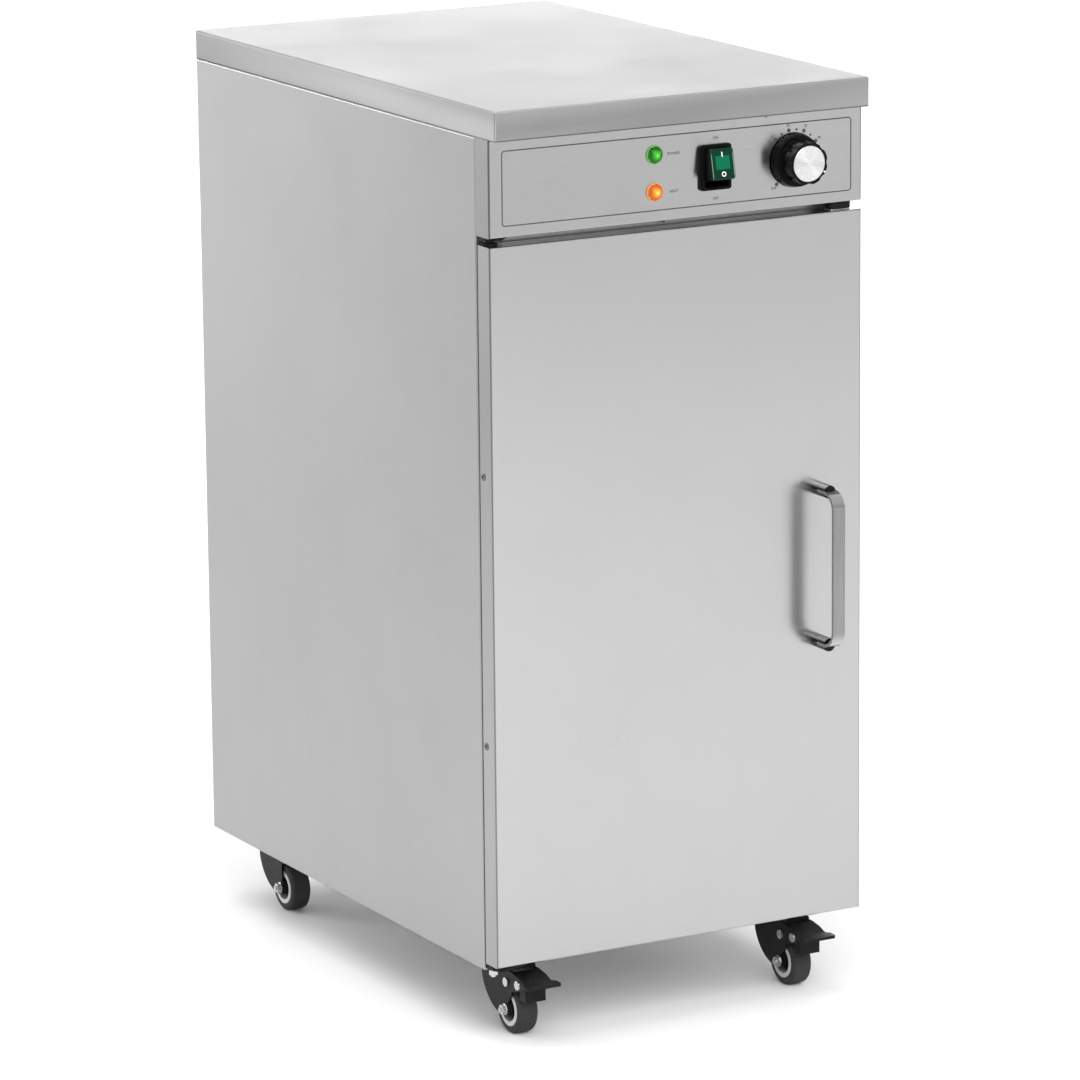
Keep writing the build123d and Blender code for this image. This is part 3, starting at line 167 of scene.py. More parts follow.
def combine(x=0.0, y=0.0, z=0.0):
    return addNode("ShaderNodeCombineXYZ", x, y, z)[0]


def facingUp():
    # 1 on what faces up, -1 on what faces down
    return partsOf(addNode("ShaderNodeNewGeometry")["Normal"])["Z"]


def spread(value, low, high, toLow=0.0, toHigh=1.0):
    return addNode("ShaderNodeMapRange", value, low, high, toLow, toHigh)[0]


def blendTones(factor, dark, light):
    node = newNode("ShaderNodeMix")
    node.data_type = "RGBA"
    colours = [socket for socket in node.inputs if socket.type == "RGBA"]
    for socket, value in zip((node.inputs[0], *colours), (factor, dark, light)):
        fillSocket(socket, value)
    return next(socket for socket in node.outputs if socket.type == "RGBA")


def noise(vector, scale, detail=2.0, roughness=0.5):
    return addNode(
        "ShaderNodeTexNoise", Vector=vector, Scale=scale, Detail=detail, Roughness=roughness)["Fac"]


def newGrain(name, **inputs):
    outputs = {"Color": "Color", "Roughness": "Float", "Height": "Float"}
    return newGroup(name, "ShaderNodeTree", outputs, Vector="Vector", **inputs)


def closeGrain(given, mixed, span, ends, height):
    # light where mixed is high; ends: how rough it is where mixed is low and where it is high
    tone = blendTones(spread(mixed, *span), given["Dark Tone"], given["Light Tone"])
    rough = spread(mixed, *span, given[ends[0]], given[ends[1]])
    return giveOut(Color=tone, Roughness=rough, Height=height)


# Rolled and brushed sheet: fine hairs along one direction, with wider bands and soft clouds.
brushedLook = {"hairs": 1.6, "bands": 0.17, "clouds": 7.0, "hairShare": 0.6, "bandShare": 0.1,
               "cloudShare": 0.3, "span": (0.36, 0.64)}


def buildBrushedGrain():
    look = brushedLook
    given = newGrain(
        "brushedGrain", Stretch=(900.0, 900.0, 12.0), Light_Tone=(0.7, 0.7, 0.7, 1),
        Dark_Tone=(0.6, 0.6, 0.6, 1), Smooth=0.3, Rough=0.4)
    along = vectorMath("MULTIPLY", given["Vector"], given["Stretch"])
    hairs = noise(along, look["hairs"], 4.0, 0.7)
    bands = noise(along, look["bands"], 2.0)
    clouds = noise(given["Vector"], look["clouds"], 3.0)
    mixed = weighted((bands, look["bandShare"]), (hairs, look["hairShare"]), (clouds, look["cloudShare"]))
    return closeGrain(given, mixed, look["span"], ("Rough", "Smooth"), hairs)


# Moulded or coated surface: a fine pebble with slow changes of tone.
mouldedLook = {"slow": 45.0, "pebbleShare": 0.4, "slowShare": 0.6, "span": (0.35, 0.65)}


def buildMouldedGrain():
    look = mouldedLook
    given = newGrain(
        "mouldedGrain", Grain=900.0, Light_Tone=(0.1, 0.1, 0.1, 1), Dark_Tone=(0.05, 0.05, 0.05, 1),
        Smooth=0.3, Rough=0.5)
    pebble = noise(given["Vector"], given["Grain"], 3.0, 0.6)
    slow = noise(given["Vector"], look["slow"], 3.0)
    mixed = weighted((slow, look["slowShare"]), (pebble, look["pebbleShare"]))
    return closeGrain(given, mixed, look["span"], ("Smooth", "Rough"), pebble)


# Dust that settles on what faces up, thicker in patches.
dustLook = {"tone": (0.45, 0.43, 0.40), "patches": 160.0, "facing": (0.2, 1.0), "thick": (0.35, 0.7),
            "rougher": 0.5}


def buildSettledDust():
    look = dustLook
    given = newGroup(
        "settledDust", "ShaderNodeTree", {"Color": "Color", "Roughness": "Float"}, Vector="Vector",
        Color=(0.1, 0.1, 0.1, 1), Roughness=0.4, Dust_Tone=(0.5, 0.48, 0.45, 1), Amount=0.2)
    patches = noise(given["Vector"], look["patches"], 4.0, 0.6)
    mask = times(spread(facingUp(), *look["facing"]), spread(patches, *look["thick"]), given["Amount"])
    return giveOut(Color=blendTones(mask, given["Color"], given["Dust Tone"]),
                   Roughness=calc("MULTIPLY_ADD", mask, look["rougher"], given["Roughness"]))


# Thin wipe marks, as a mask of 0 to 1.
wipeLook = {"waves": 4.0, "bend": 0.08, "span": (0.46, 0.72)}


def buildWipeMarks():
    look = wipeLook
    given = newGroup("wipeMarks", "ShaderNodeTree", {"Mask": "Float"}, Vector="Vector", Size=9.0)
    bend = addNode("ShaderNodeTexNoise", Vector=given["Vector"], Scale=look["waves"])["Color"]
    moved = vectorMath("MULTIPLY_ADD", bend, (look["bend"],) * 3, given["Vector"])
    return giveOut(Mask=spread(noise(moved, given["Size"], 5.0, 0.62), *look["span"]))


brushedGrain = buildBrushedGrain()
mouldedGrain = buildMouldedGrain()
settledDust = buildSettledDust()
wipeMarks = buildWipeMarks()


def newMaterial(name, **fixed):
    # fixed: the shader's values that are the same all over
    material = bpy.data.materials.new(name)
    material.use_nodes = True
    finishes[name] = material
    draft.update(tree=material.node_tree, result=material.node_tree.nodes["Principled BSDF"].inputs)
    giveOut(**fixed)
    return addNode("ShaderNodeTexCoord")["Object"]


def useGroup(group, **values):
    node = newNode("ShaderNodeGroup")
    node.node_tree = group
    fill(node.inputs, **values)
    return node.outputs


def addBump(height, strength, depth):
    # depth in millimetres
    bump = addNode("ShaderNodeBump", Height=height, Strength=strength, Distance=depth * mm)
    giveOut(Normal=bump["Normal"])


# Sheet steel by panel: where its grain runs, its two tones and how matt it is. A grain that runs
# along Z blurs sideways, and one that runs along X is given a quarter turn. bend and edge: painted
# shade, the darker tones on the bend and on the turned side. lit: a painted highlight, how much
# brighter it is where it faces up or down. seam: a painted line across it, from and to so far above
# the lid's lower edge, and the tone at both; on the side panels it is a painted highlight just under
# the lid, on the lid painted shade along its lower edge. Places are millimetres, for the bend and
# the edge from the middle.
upright, across, inward = (1100.0, 1100.0, 14.0), (14.0, 1100.0, 1100.0), (1100.0, 14.0, 1100.0)
steelSheets = table(
    "stretch light dark smooth rough brushed turn bend edge seam lit",
    sideSteel=(upright, 0.434, 0.412, 0.36, 0.42, 0.4, 0.0, 1.0, 1.0, (-1.5, -1.3, 1.0, 2.1)),
    doorSteel=(upright, 0.520, 0.503, 0.18, 0.25, 0.4, 0.0, 0.40, 0.72),
    lidSteel=(across, 0.412, 0.392, 0.36, 0.42, 0.0, 0.0, 1.0, 1.0, (1.1, 1.3, 0.45, 1.0)),
    panelSteel=(across, 0.440, 0.421, 0.15, 0.21, 0.7, 0.25, 0.40, 0.62),
    handleSteel=(upright, 0.34, 0.25, 0.18, 0.28, 0.0, 0.0, 1.0, 1.0, None, 1.1),
    millSteel=(upright, 0.62, 0.55, 0.34, 0.50),
    floorSteel=(inward, 0.60, 0.53, 0.32, 0.48))
steelLook = {"blue": 1.005, "marks": 6.0, "markRough": 0.05, "bump": (0.05, 0.1),
             "facing": (0.15, 0.8), "bendFrom": 198.2, "bendTo": 199.0, "edgeFrom": 199.6, "edgeTo": 199.95}
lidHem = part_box("top_cover")[0].z / mm


def makeSheetSteel(name, stretch, light, dark, smooth, rough, brushed=0.0, turn=0.0, bend=1.0, edge=1.0,
                   seam=None, lit=0.0):
    look = steelLook
    place = newMaterial(name, Metallic=1.0, Anisotropic=brushed, Anisotropic_Rotation=turn)
    grain = useGroup(
        brushedGrain, Vector=place, Stretch=stretch, Light_Tone=(light, light, light * look["blue"]),
        Dark_Tone=(dark, dark, dark * look["blue"]), Smooth=smooth, Rough=rough)
    marks = useGroup(wipeMarks, Vector=place, Size=look["marks"])
    spot = partsOf(place)
    tone = grain["Color"]
    # painted shade: darker tones on the bend and on the turned side of the sheet
    if edge != 1.0:
        aside = calc("ABSOLUTE", spot["X"])
        bent = spread(aside, look["bendFrom"] * mm, look["bendTo"] * mm, 1.0, bend)
        turned = spread(aside, look["edgeFrom"] * mm, look["edgeTo"] * mm, 0.0, edge - bend)
        tone = scaled(tone, calc("ADD", bent, turned))
    # painted highlight: brighter where it faces up or down
    if lit:
        level = calc("ABSOLUTE", facingUp())
        tone = scaled(tone, spread(level, *look["facing"], 1.0, 1.0 + lit))
    # painted band at the lid's lower edge: a highlight on the side panels, shade on the lid
    if seam:
        low, high, toneLow, toneHigh = seam
        low, high = (lidHem + low) * mm, (lidHem + high) * mm
        tone = scaled(tone, spread(spot["Z"], low, high, toneLow, toneHigh))
    rough = calc("MULTIPLY_ADD", marks["Mask"], look["markRough"], grain["Roughness"])
    giveOut(Base_Color=tone, Roughness=rough)
    addBump(grain["Height"], *look["bump"])


makeAll(makeSheetSteel, steelSheets)

# Plated and bare metals without a long grain.
metals = table(
    "light dark smooth rough grain",
    zincPlate=((0.72, 0.72, 0.70), (0.52, 0.53, 0.53), 0.20, 0.38, 600.0),
    dullZinc=((0.26, 0.26, 0.26), (0.10, 0.10, 0.10), 0.24, 0.40, 600.0),
    brightWire=((0.80, 0.80, 0.80), (0.70, 0.70, 0.71), 0.10, 0.22, 300.0),
    heatTube=((0.36, 0.31, 0.27), (0.20, 0.18, 0.17), 0.35, 0.55, 400.0),
    turnedBrass=((0.78, 0.60, 0.32), (0.62, 0.46, 0.22), 0.20, 0.34, 500.0))
metalLook = {"metallic": 1.0, "bump": 0.08, "depth": 0.1}

# Mouldings, rubbers and paints. bump is its pebble's strength, dust how much lies on top of it.
mouldings = table(
    "light dark smooth rough grain bump dust gloss",
    glossBlack=((0.006, 0.006, 0.0065), (0.003, 0.003, 0.0033), 0.14, 0.24, 700.0, 0.03, 0.02, 0.08),
    mattBlack=((0.014, 0.014, 0.015), (0.008, 0.008, 0.009), 0.42, 0.58, 1200.0, 0.15, 0.05, 0.1),
    casterBlack=((0.013, 0.013, 0.014), (0.007, 0.007, 0.008), 0.26, 0.42, 800.0, 0.10, 0.05, 0.12),
    wheelGrey=((0.62, 0.62, 0.61), (0.50, 0.50, 0.49), 0.34, 0.48, 900.0, 0.06, 0.05),
    treadRubber=((0.045, 0.045, 0.047), (0.030, 0.030, 0.032), 0.46, 0.64, 1000.0, 0.14, 0.06, 0.15),
    sealRubber=((0.13, 0.13, 0.13), (0.085, 0.085, 0.088), 0.48, 0.62, 900.0, 0.10, 0.05),
    caseGrey=((0.47, 0.48, 0.48), (0.38, 0.39, 0.39), 0.32, 0.46, 900.0, 0.08, 0.05),
    naturalWhite=((0.84, 0.82, 0.77), (0.72, 0.70, 0.64), 0.36, 0.50, 1000.0, 0.06, 0.04),
    whiteInk=((0.86, 0.86, 0.85), (0.78, 0.78, 0.77), 0.38, 0.50, 1500.0, 0.02),
    greyInk=((0.075, 0.075, 0.08), (0.045, 0.045, 0.05), 0.42, 0.55, 1500.0, 0.02))


def makeSkin(name, light, dark, smooth, rough, grain, bump, dust=0.0, gloss=0.5, metallic=0.0, depth=0.2):
    place = newMaterial(name, Metallic=metallic, Specular_IOR_Level=gloss)
    skin = useGroup(mouldedGrain, Vector=place, Grain=grain, Light_Tone=light, Dark_Tone=dark,
                    Smooth=smooth, Rough=rough)
    top = skin
    if dust:
        top = useGroup(settledDust, Vector=place, Color=skin["Color"], Roughness=skin["Roughness"],
                       Dust_Tone=dustLook["tone"], Amount=dust)
    giveOut(Base_Color=top["Color"], Roughness=top["Roughness"])
    addBump(skin["Height"], bump, depth)


makeAll(makeSkin, metals, **metalLook)
makeAll(makeSkin, mouldings)

# Mineral wool: matted fibres in two yellows.
woolLook = {"light": (0.80, 0.74, 0.50), "dark": (0.46, 0.39, 0.20), "fibres": 320.0, "lumps": 38.0,
            "fibreShare": 0.7, "lumpShare": 0.3, "tones": (0.35, 0.65), "roughness": (0.3, 0.7, 0.98, 0.82),
            "bump": (0.7, 1.2)}


def makeWool():
    look = woolLook
    place = newMaterial("mineralWool")
    fibres = noise(place, look["fibres"], 6.0, 0.7)
    lumps = noise(place, look["lumps"], 3.0)
    mixed = weighted((lumps, look["lumpShare"]), (fibres, look["fibreShare"]))
    giveOut(Base_Color=blendTones(spread(mixed, *look["tones"]), look["dark"], look["light"]),
            Roughness=spread(mixed, *look["roughness"]))
    addBump(mixed, *look["bump"])


makeWool()


def fromMiddle(place, node):
    # the place seen from a node's middle, and how far it is from the line along Y through it
    moved = addNode("ShaderNodeMapping", Vector=place, Location=tuple(-middleOf(node)))[0]
    return moved, lengthOf(vectorMath("MULTIPLY", moved, (1.0, 0.0, 1.0)))


def colourSteps(value, steps):
    # steps: (position, colour) from 0 to 1
    ramp = newNode("ShaderNodeValToRGB")
    fill(ramp.inputs, Fac=value)
    marks = ramp.color_ramp.elements
    while len(marks) < len(steps):
        marks.new(0.5)
    for mark, (position, colour) in zip(marks, steps):
        mark.position = position
        mark.color = (*colour, 1)
    return ramp.outputs["Color"]


# Lit lenses: a hot core, cells like a moulded lens, and a pale collar at its rim, a painted
# reflection in the lens's clear rim. reach: how far out each tone lies, as a share of the rim's radius.
lamps = table(
    "core lens edge collar glow",
    power_lamp=((0.10, 0.62, 0.06), (0.034, 0.27, 0.015), (0.003, 0.085, 0.002), (0.09, 0.24, 0.06), 0.75),
    heat_lamp=((0.95, 0.62, 0.22), (0.62, 0.235, 0.030), (0.34, 0.078, 0.005), (0.42, 0.20, 0.08), 0.75))
lampLook = {"rim": 8.9, "cells": 420.0, "ripple": 1.1, "reach": (0.0, 0.30, 0.68, 0.93, 0.965, 1.0),
            "shader": {"Roughness": 0.10, "Specular_IOR_Level": 0.2}, "bump": (0.5, 0.8)}


def makeLens(name, core, lens, edge, collar, glow):
    look = lampLook
    place = newMaterial("lens_" + name, **look["shader"], Emission_Strength=glow)
    moved, radius = fromMiddle(place, name)
    cells = addNode("ShaderNodeTexVoronoi", Vector=moved, Scale=look["cells"])["Distance"]
    rippled = calc("MULTIPLY_ADD", cells, look["ripple"] * mm, radius)
    # the collar's pale tone is a painted reflection, which glows with the lens
    tones = (core, lens, edge, edge, collar, collar)
    glowTone = colourSteps(spread(rippled, 0.0, look["rim"] * mm), list(zip(look["reach"], tones)))
    giveOut(Base_Color=glowTone, Emission_Color=glowTone)
    addBump(cells, *look["bump"])


# Lit rocker: translucent green, brighter in a square on its face, with a painted highlight, a pale
# line, at its left and right. Places are millimetres from its middle.
rockerLook = {"core": (0.002, 0.125, 0.052), "rim": (0.003, 0.030, 0.016), "line": (0.30, 0.42, 0.37),
              "half": (7.3, 6.0), "rise": 3.0, "fade": (1.05, 1.2), "lineAt": 11.4, "lineWide": 0.5,
              "lineTone": 0.8, "lineEnd": (9.0, 13.0), "clouds": 240.0, "cloudShare": 0.2,
              "shader": {"Roughness": 0.10, "Specular_IOR_Level": 0.12, "Emission_Strength": 0.10},
              "bump": (0.04, 0.3)}


def makeRockerGreen():
    look = rockerLook
    place = newMaterial("rockerGreen", **look["shader"])
    spot = partsOf(fromMiddle(place, "rocker_button")[0])
    aside = calc("ABSOLUTE", spot["X"])
    wide = calc("DIVIDE", aside, look["half"][0] * mm)
    above = calc("SUBTRACT", spot["Z"], look["rise"] * mm)
    tall = calc("DIVIDE", calc("ABSOLUTE", above), look["half"][1] * mm)
    cloud = noise(place, look["clouds"])
    edge = calc("MULTIPLY_ADD", cloud, look["cloudShare"], calc("MAXIMUM", wide, tall))
    tone = blendTones(spread(edge, *look["fade"]), look["core"], look["rim"])
    # painted highlight: a pale line along the left and right of the face, which glows with the rocker
    off = calc("ABSOLUTE", calc("SUBTRACT", aside, look["lineAt"] * mm))
    start, end = look["lineEnd"]
    line = times(spread(off, 0.0, look["lineWide"] * mm, look["lineTone"], 0.0),
                 spread(calc("ABSOLUTE", spot["Z"]), start * mm, end * mm, 1.0, 0.0))
    tone = blendTones(line, tone, look["line"])
    giveOut(Base_Color=tone, Emission_Color=tone)
    addBump(cloud, *look["bump"])


# Spun cap: fine rings round the knob's axis as a bump, which pull the light into spokes, and spokes of light
# and dark tone in its colour, a painted radial sheen.
capLook = {"light": (0.93,) * 3, "dark": (0.78,) * 3, "rings": 2600.0, "spokes": 2.4, "scratches": 3000.0,
           "spokeShare": 0.75, "scratchShare": 0.25, "tones": (0.36, 0.62),
           "roughness": (0.3, 0.7, 0.34, 0.20), "bump": (0.35, 0.06)}


def makeSpunCap():
    look = capLook
    place = newMaterial("spunCap", Metallic=1.0)
    moved, radius = fromMiddle(place, "knob_cap")
    rings = calc("SINE", times(radius, look["rings"] * 2 * pi))
    spot = partsOf(moved)
    # painted sheen: spokes of light and dark tone round the knob's axis
    spokes = noise(combine(calc("ARCTAN2", spot["X"], spot["Z"])), look["spokes"], 3.0)
    scratches = noise(combine(radius), look["scratches"], 3.0)
    mixed = weighted((scratches, look["scratchShare"]), (spokes, look["spokeShare"]))
    giveOut(Base_Color=blendTones(spread(mixed, *look["tones"]), look["dark"], look["light"]),
            Roughness=spread(mixed, *look["roughness"]))
    addBump(rings, *look["bump"])


# The handle's feet: a painted highlight where they face up and painted shade where they face down, broken up
# by clouds.
stubShadeLook = {"top": (0.24,) * 3, "below": (0.02,) * 3, "clouds": 220.0, "cloudShare": 0.3,
            "tones": (0.35, 0.95), "roughness": (0.3, 0.7, 0.25, 0.33)}


def makeStubPaintedShade():
    look = stubShadeLook
    place = newMaterial("stubPaintedShade", Metallic=1.0)
    cloud = noise(place, look["clouds"], 3.0)
    level = calc("SUBTRACT", facingUp(), look["cloudShare"] / 2)
    mixed = calc("MULTIPLY_ADD", cloud, look["cloudShare"], level)
    giveOut(Base_Color=blendTones(spread(mixed, *look["tones"]), look["below"], look["top"]),
            Roughness=spread(cloud, *look["roughness"]))


makeAll(makeLens, lamps)
makeRockerGreen()
makeSpunCap()
makeStubPaintedShade()
print("finishes ready:", len(finishes))

# The finish of every CAD node, which a finer copy takes too. A name that ends in _ stands for a node
# at each corner.
corners = ["front_left", "front_right", "rear_left", "rear_right"]
nodeFinish = {
    "sideSteel": "side_panel_left side_panel_right back_panel",
    "doorSteel": "door_outer",
    "lidSteel": "top_cover",
    "panelSteel": "control_panel",
    "handleSteel": "door_handle",
    "millSteel": "front_frame door_inner liner_left liner_right liner_back shelf_rack_left shelf_rack_right",
    "floorSteel": "base_panel liner_floor liner_roof heater_guard heater_support",
    "zincPlate": "handle_nuts door_side_screws catch_strike cabinet_screws caster_bolts",
    "brightWire": "wire_shelf_lower wire_shelf_upper",
    "heatTube": "heating_element",
    "turnedBrass": "thermostat_spindle",
    "spunCap": "knob_cap",
    "glossBlack": "knob switch_housing",
    "rockerGreen": "rocker_button",
    "lens_power_lamp": "power_lamp",
    "lens_heat_lamp": "heat_lamp",
    "caseGrey": "thermostat",
    "naturalWhite": "terminal_block",
    "mattBlack": "safety_cutout cable_gland door_catch hinge_bushes",
    "sealRubber": "door_gasket",
    "mineralWool": "insulation_slabs door_insulation",
    "casterBlack": "hinge_bracket_lower hinge_bracket_upper caster_plates brake_pedal_ caster_fork_",
    "wheelGrey": "caster_wheel_",
    "treadRubber": "caster_tyre_",
}
finishOf = {}
for finish, group in nodeFinish.items():
    for start in group.split():
        for node in [start + corner for corner in corners] if start.endswith("_") else [start]:
            if node in nodes:
                finishOf[node] = finish
for node, finish in finishOf.items():
    if not nodes[node].material_slots:
        nodes[node].data.materials.append(None)
    for place in nodes[node].material_slots:
        place.material = finishes[finish]


def newPiece(name, mesh, *looks):
    mesh.name = name
    piece = bpy.data.objects.new(name, mesh)
    scene.collection.objects.link(piece)
    for look in looks:
        mesh.materials.append(finishes[look])
    return piece


def settle(piece, body, stands=()):
    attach(piece, body)
    if stands:
        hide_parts(*stands)
    return piece


def standFor(piece, node):
    return settle(piece, bodyOf[node], [node])


def applyModifiers(piece):
    graph = bpy.context.evaluated_depsgraph_get()
    mesh = bpy.data.meshes.new_from_object(piece.evaluated_get(graph), depsgraph=graph)
    piece.modifiers.clear()
    old = piece.data
    piece.data = mesh
    mesh.name = piece.name
    bpy.data.meshes.remove(old)
    return mesh


def takeMesh(piece):
    mesh = piece.data
    bpy.data.objects.remove(piece)
    return mesh


merging = {"near": 0.002, "flat": 0.6}  # millimetres and degrees


def mergedShape(node):
    # a CAD node's mesh with its double points and the edges across its flats taken out
    shape = bmesh.new()
    shape.from_mesh(nodes[node].data)
    bmesh.ops.remove_doubles(shape, verts=shape.verts, dist=merging["near"] * mm)
    flat = radians(merging["flat"])
    bmesh.ops.dissolve_limit(shape, angle_limit=flat, verts=shape.verts, edges=shape.edges)
    return shape


def meshOf(shape):
    mesh = bpy.data.meshes.new("shape")
    shape.to_mesh(mesh)
    shape.free()
    return mesh


def smoothFaces(mesh, sharp):
    mesh.polygons.foreach_set("use_smooth", [True] * len(mesh.polygons))
    mesh.set_sharp_from_angle(angle=radians(sharp))


def roundedCopy(node, name, edge, steps=2, sharp=35, chosen=None):
    # a copy of a CAD node with its edges rounded by edge millimetres: those sharper than sharp
    # degrees or, where the node is a sheet, those whose ends are chosen
    shape = mergedShape(node)
    if chosen:
        layer = shape.edges.layers.float.new("bevel_weight_edge")
        for side in shape.edges:
            side[layer] = float(chosen(side.verts[0].co, side.verts[1].co))
    piece = newPiece(name, meshOf(shape), finishOf[node])
    smoothFaces(piece.data, 180)
    bevel = piece.modifiers.new("edges", "BEVEL")
    bevel.width = edge * mm
    bevel.segments = steps
    bevel.angle_limit = radians(sharp)
    bevel.limit_method = "WEIGHT" if chosen else "ANGLE"
    bevel.miter_outer = "MITER_SHARP" if chosen else "MITER_ARC"
    piece.modifiers.new("normals", "WEIGHTED_NORMAL").keep_sharp = True
    applyModifiers(piece)
    if chosen:
        smoothFaces(piece.data, 30)
    return standFor(piece, node)


def roundCopies(copies):
    # for each node: the piece's name, its edge and, where they differ, its steps and sharp
    return {node: roundedCopy(node, *look) for node, look in copies.items()}


def paintFaces(piece, look, chosen):
    piece.data.materials.append(finishes[look])
    for face in piece.data.polygons:
        if chosen(face):
            face.material_index = len(piece.data.materials) - 1


def paintWhere(piece, look, inside):
    # faces whose corners are all inside take another finish
    points = piece.data.vertices
    paintFaces(piece, look, lambda face: all(inside(points[k].co) for k in face.vertices))


def islandsOf(node):
    # the separate solids of a CAD node, each as its list of points
    shape = mergedShape(node)
    left = set(shape.verts)
    found = []
    for start in shape.verts:
        reached, points = [start], []
        while reached:
            vert = reached.pop()
            if vert in left:
                left.remove(vert)
                points.append(vert.co.copy())
                reached += [edge.other_vert(vert) for edge in vert.link_edges]
        if points:
            found.append(points)
    shape.free()
    return found


def joinMeshes(meshes):
    shape = bmesh.new()
    for mesh in meshes:
        shape.from_mesh(mesh)
        bpy.data.meshes.remove(mesh)
    return meshOf(shape)


def bridgeRings(shape, rings, closed=True):
    # faces from each ring of points to the next, and from the last to the first or else at both ends
    rings = [[shape.verts.new(point) for point in ring] for ring in rings]
    count = len(rings[0])
    if not closed:
        shape.faces.new(rings[0])
        shape.faces.new(rings[-1][::-1])
    for near, far in zip(rings, rings[1:] + rings[:1] if closed else rings[1:]):
        for k in range(count):
            after = (k + 1) % count
            shape.faces.new((near[k], near[after], far[after], far[k]))
    bmesh.ops.recalc_face_normals(shape, faces=shape.faces)
    return meshOf(shape)


camera = {"place": (-2.7413, -4.9781, 1.7289), "yaw": 28.948, "pitch": 13.038, "roll": -0.548,
          "lens": 197.81, "sensor": 36, "end": 200}


def placeCamera():
    data = bpy.data.cameras.new("camera")
    data.lens, data.sensor_width, data.clip_end = camera["lens"], camera["sensor"], camera["end"]
    seer = bpy.data.objects.new("camera", data)
    seer.matrix_world = Matrix.Translation(camera["place"])
    for angle, axis in ((-camera["yaw"], "Z"), (90 - camera["pitch"], "X"), (camera["roll"], "Z")):
        seer.matrix_world = seer.matrix_world @ Matrix.Rotation(radians(angle), 4, axis)
    scene.collection.objects.link(seer)
    scene.camera = seer


# floorSeen: how bright the floor is in a reflection, at the two distances of seenReach. pale: how much
# it glows at the end of paleReach, so that it ends in white.
studio = {"sky": 0.574, "floorReach": 30.0, "floorTone": (0.95,) * 3, "floorDim": (0.93575,) * 3,
          "floorClouds": 0.6, "floorSpan": (0.3, 0.7), "floorRough": (0.8, 0.9), "floorGloss": 0.15,
          "floorSeen": (0.92, 0.80), "seenReach": (0.5, 4.5), "pale": 0.45, "paleReach": (0.7, 4.0)}
softLights = table(
    "place aim size power beam",
    overhead=((-0.6, 0.6, 3.4), (0, 0, 0.5), (4.0, 4.0), 77.0),
    behindLow=((2.3, 4.2, 1.2), (0, 0, 0.9), (2.4, 0.8), 38),
    leftBack=((-1.6, 2.2, 0.7), (-0.2, 0.6, 0.3), (0.8, 1.2), 1.74, 50),
    leftSide=((-3.2, 0.6, 1.4), (0, 0, 0.5), (2.0, 2.0), 1.8),
    rightFront=((1.6, -2.0, 0.5), (0.4, -0.3, 0.3), (0.8, 1.0), 0.04, 50),
    rightFar=((2.2, -4.2, 0.6), (0, -0.3, 0.5), (1.2, 0.8), 0.325, 60),
    frontHigh=((-0.5, -4.0, 3.5), (0, 0, 0.3), (4.4, 3.4), 186),
    rightSide=((3.0, -0.5, 1.6), (0, 0, 0.4), (2.0, 2.0), 15))


def layFloor():
    look = studio
    shape = bmesh.new()
    bmesh.ops.create_grid(shape, x_segments=4, y_segments=4, size=look["floorReach"])
    place = newMaterial("paleFloor", Specular_IOR_Level=look["floorGloss"])
    ray = addNode("ShaderNodeLightPath")
    slow = spread(noise(place, look["floorClouds"]), *look["floorSpan"])
    tone = blendTones(slow, look["floorDim"], look["floorTone"])
    reach = lengthOf(place)
    seen = spread(reach, *look["seenReach"], *look["floorSeen"])
    seen = addNode("ShaderNodeCombineColor", seen, seen, seen)[0]
    seen = blendTones(ray["Is Glossy Ray"], (1.0, 1.0, 1.0), seen)
    pale = spread(reach, *look["paleReach"], 0.0, look["pale"])
    rough = spread(slow, 0.0, 1.0, *look["floorRough"])
    giveOut(Base_Color=vectorMath("MULTIPLY", tone, seen), Roughness=rough,
            Emission_Strength=times(pale, ray["Is Camera Ray"]))
    newPiece("studioFloor", meshOf(shape), "paleFloor")


def addLight(name, place, aim, size, power, beam=180):
    data = bpy.data.lights.new(name, "AREA")
    data.shape = "RECTANGLE"
    data.size, data.size_y = size
    data.energy = power
    data.spread = radians(beam)
    lamp = bpy.data.objects.new(name, data)
    lamp.location = place
    lamp.rotation_euler = (Vector(aim) - Vector(place)).to_track_quat("-Z", "Y").to_euler()
    scene.collection.objects.link(lamp)


def lightStudio():
    world = bpy.data.worlds.new("softSky")
    scene.world = world
    world.use_nodes = True
    fill(world.node_tree.nodes["Background"].inputs, Strength=studio["sky"], Color=(1, 1, 1))
    makeAll(addLight, softLights)
    scene.view_settings.view_transform = "Standard"


placeCamera()
layFloor()
lightStudio()
print("studio ready")


def newTree(name, **inputs):
    return newGroup(name, "GeometryNodeTree", {"Geometry": "Geometry"}, Geometry="Geometry", **inputs,
                    Finish="Material")


def geo(kind, *values, **named):
    return addNode("GeometryNode" + kind, *values, **named)[0]


def closeTree(given, geometry):
    # every tree ends in real geometry with its finish set
    real = geo("RealizeInstances", Geometry=geometry)
    return giveOut(Geometry=geo("SetMaterial", Geometry=real, Material=given["Finish"]))


def runTree(name, tree, look, mesh=None, **values):
    # a plain mesh made by the tree, with its named inputs set to values
    piece = newPiece(name, mesh or bpy.data.meshes.new("empty"))
    worker = piece.modifiers.new("maker", "NODES")
    worker.node_group = tree
    wanted = {label.replace("_", " "): value for label, value in values.items()}
    wanted["Finish"] = finishes[look]
    for item in tree.interface.items_tree:
        if item.in_out == "INPUT" and item.name in wanted:
            worker[item.identifier] = wanted[item.name]
    applyModifiers(piece)
    return piece


def moveTo(geometry, place):
    return geo("Transform", Geometry=geometry, Translation=place)


def sweep(curve, section, caps=False):
    return geo("CurveToMesh", Curve=curve, Profile_Curve=section, Fill_Caps=caps)


def rectangle(width, height):
    return geo("CurvePrimitiveQuadrilateral", Width=width, Height=height)


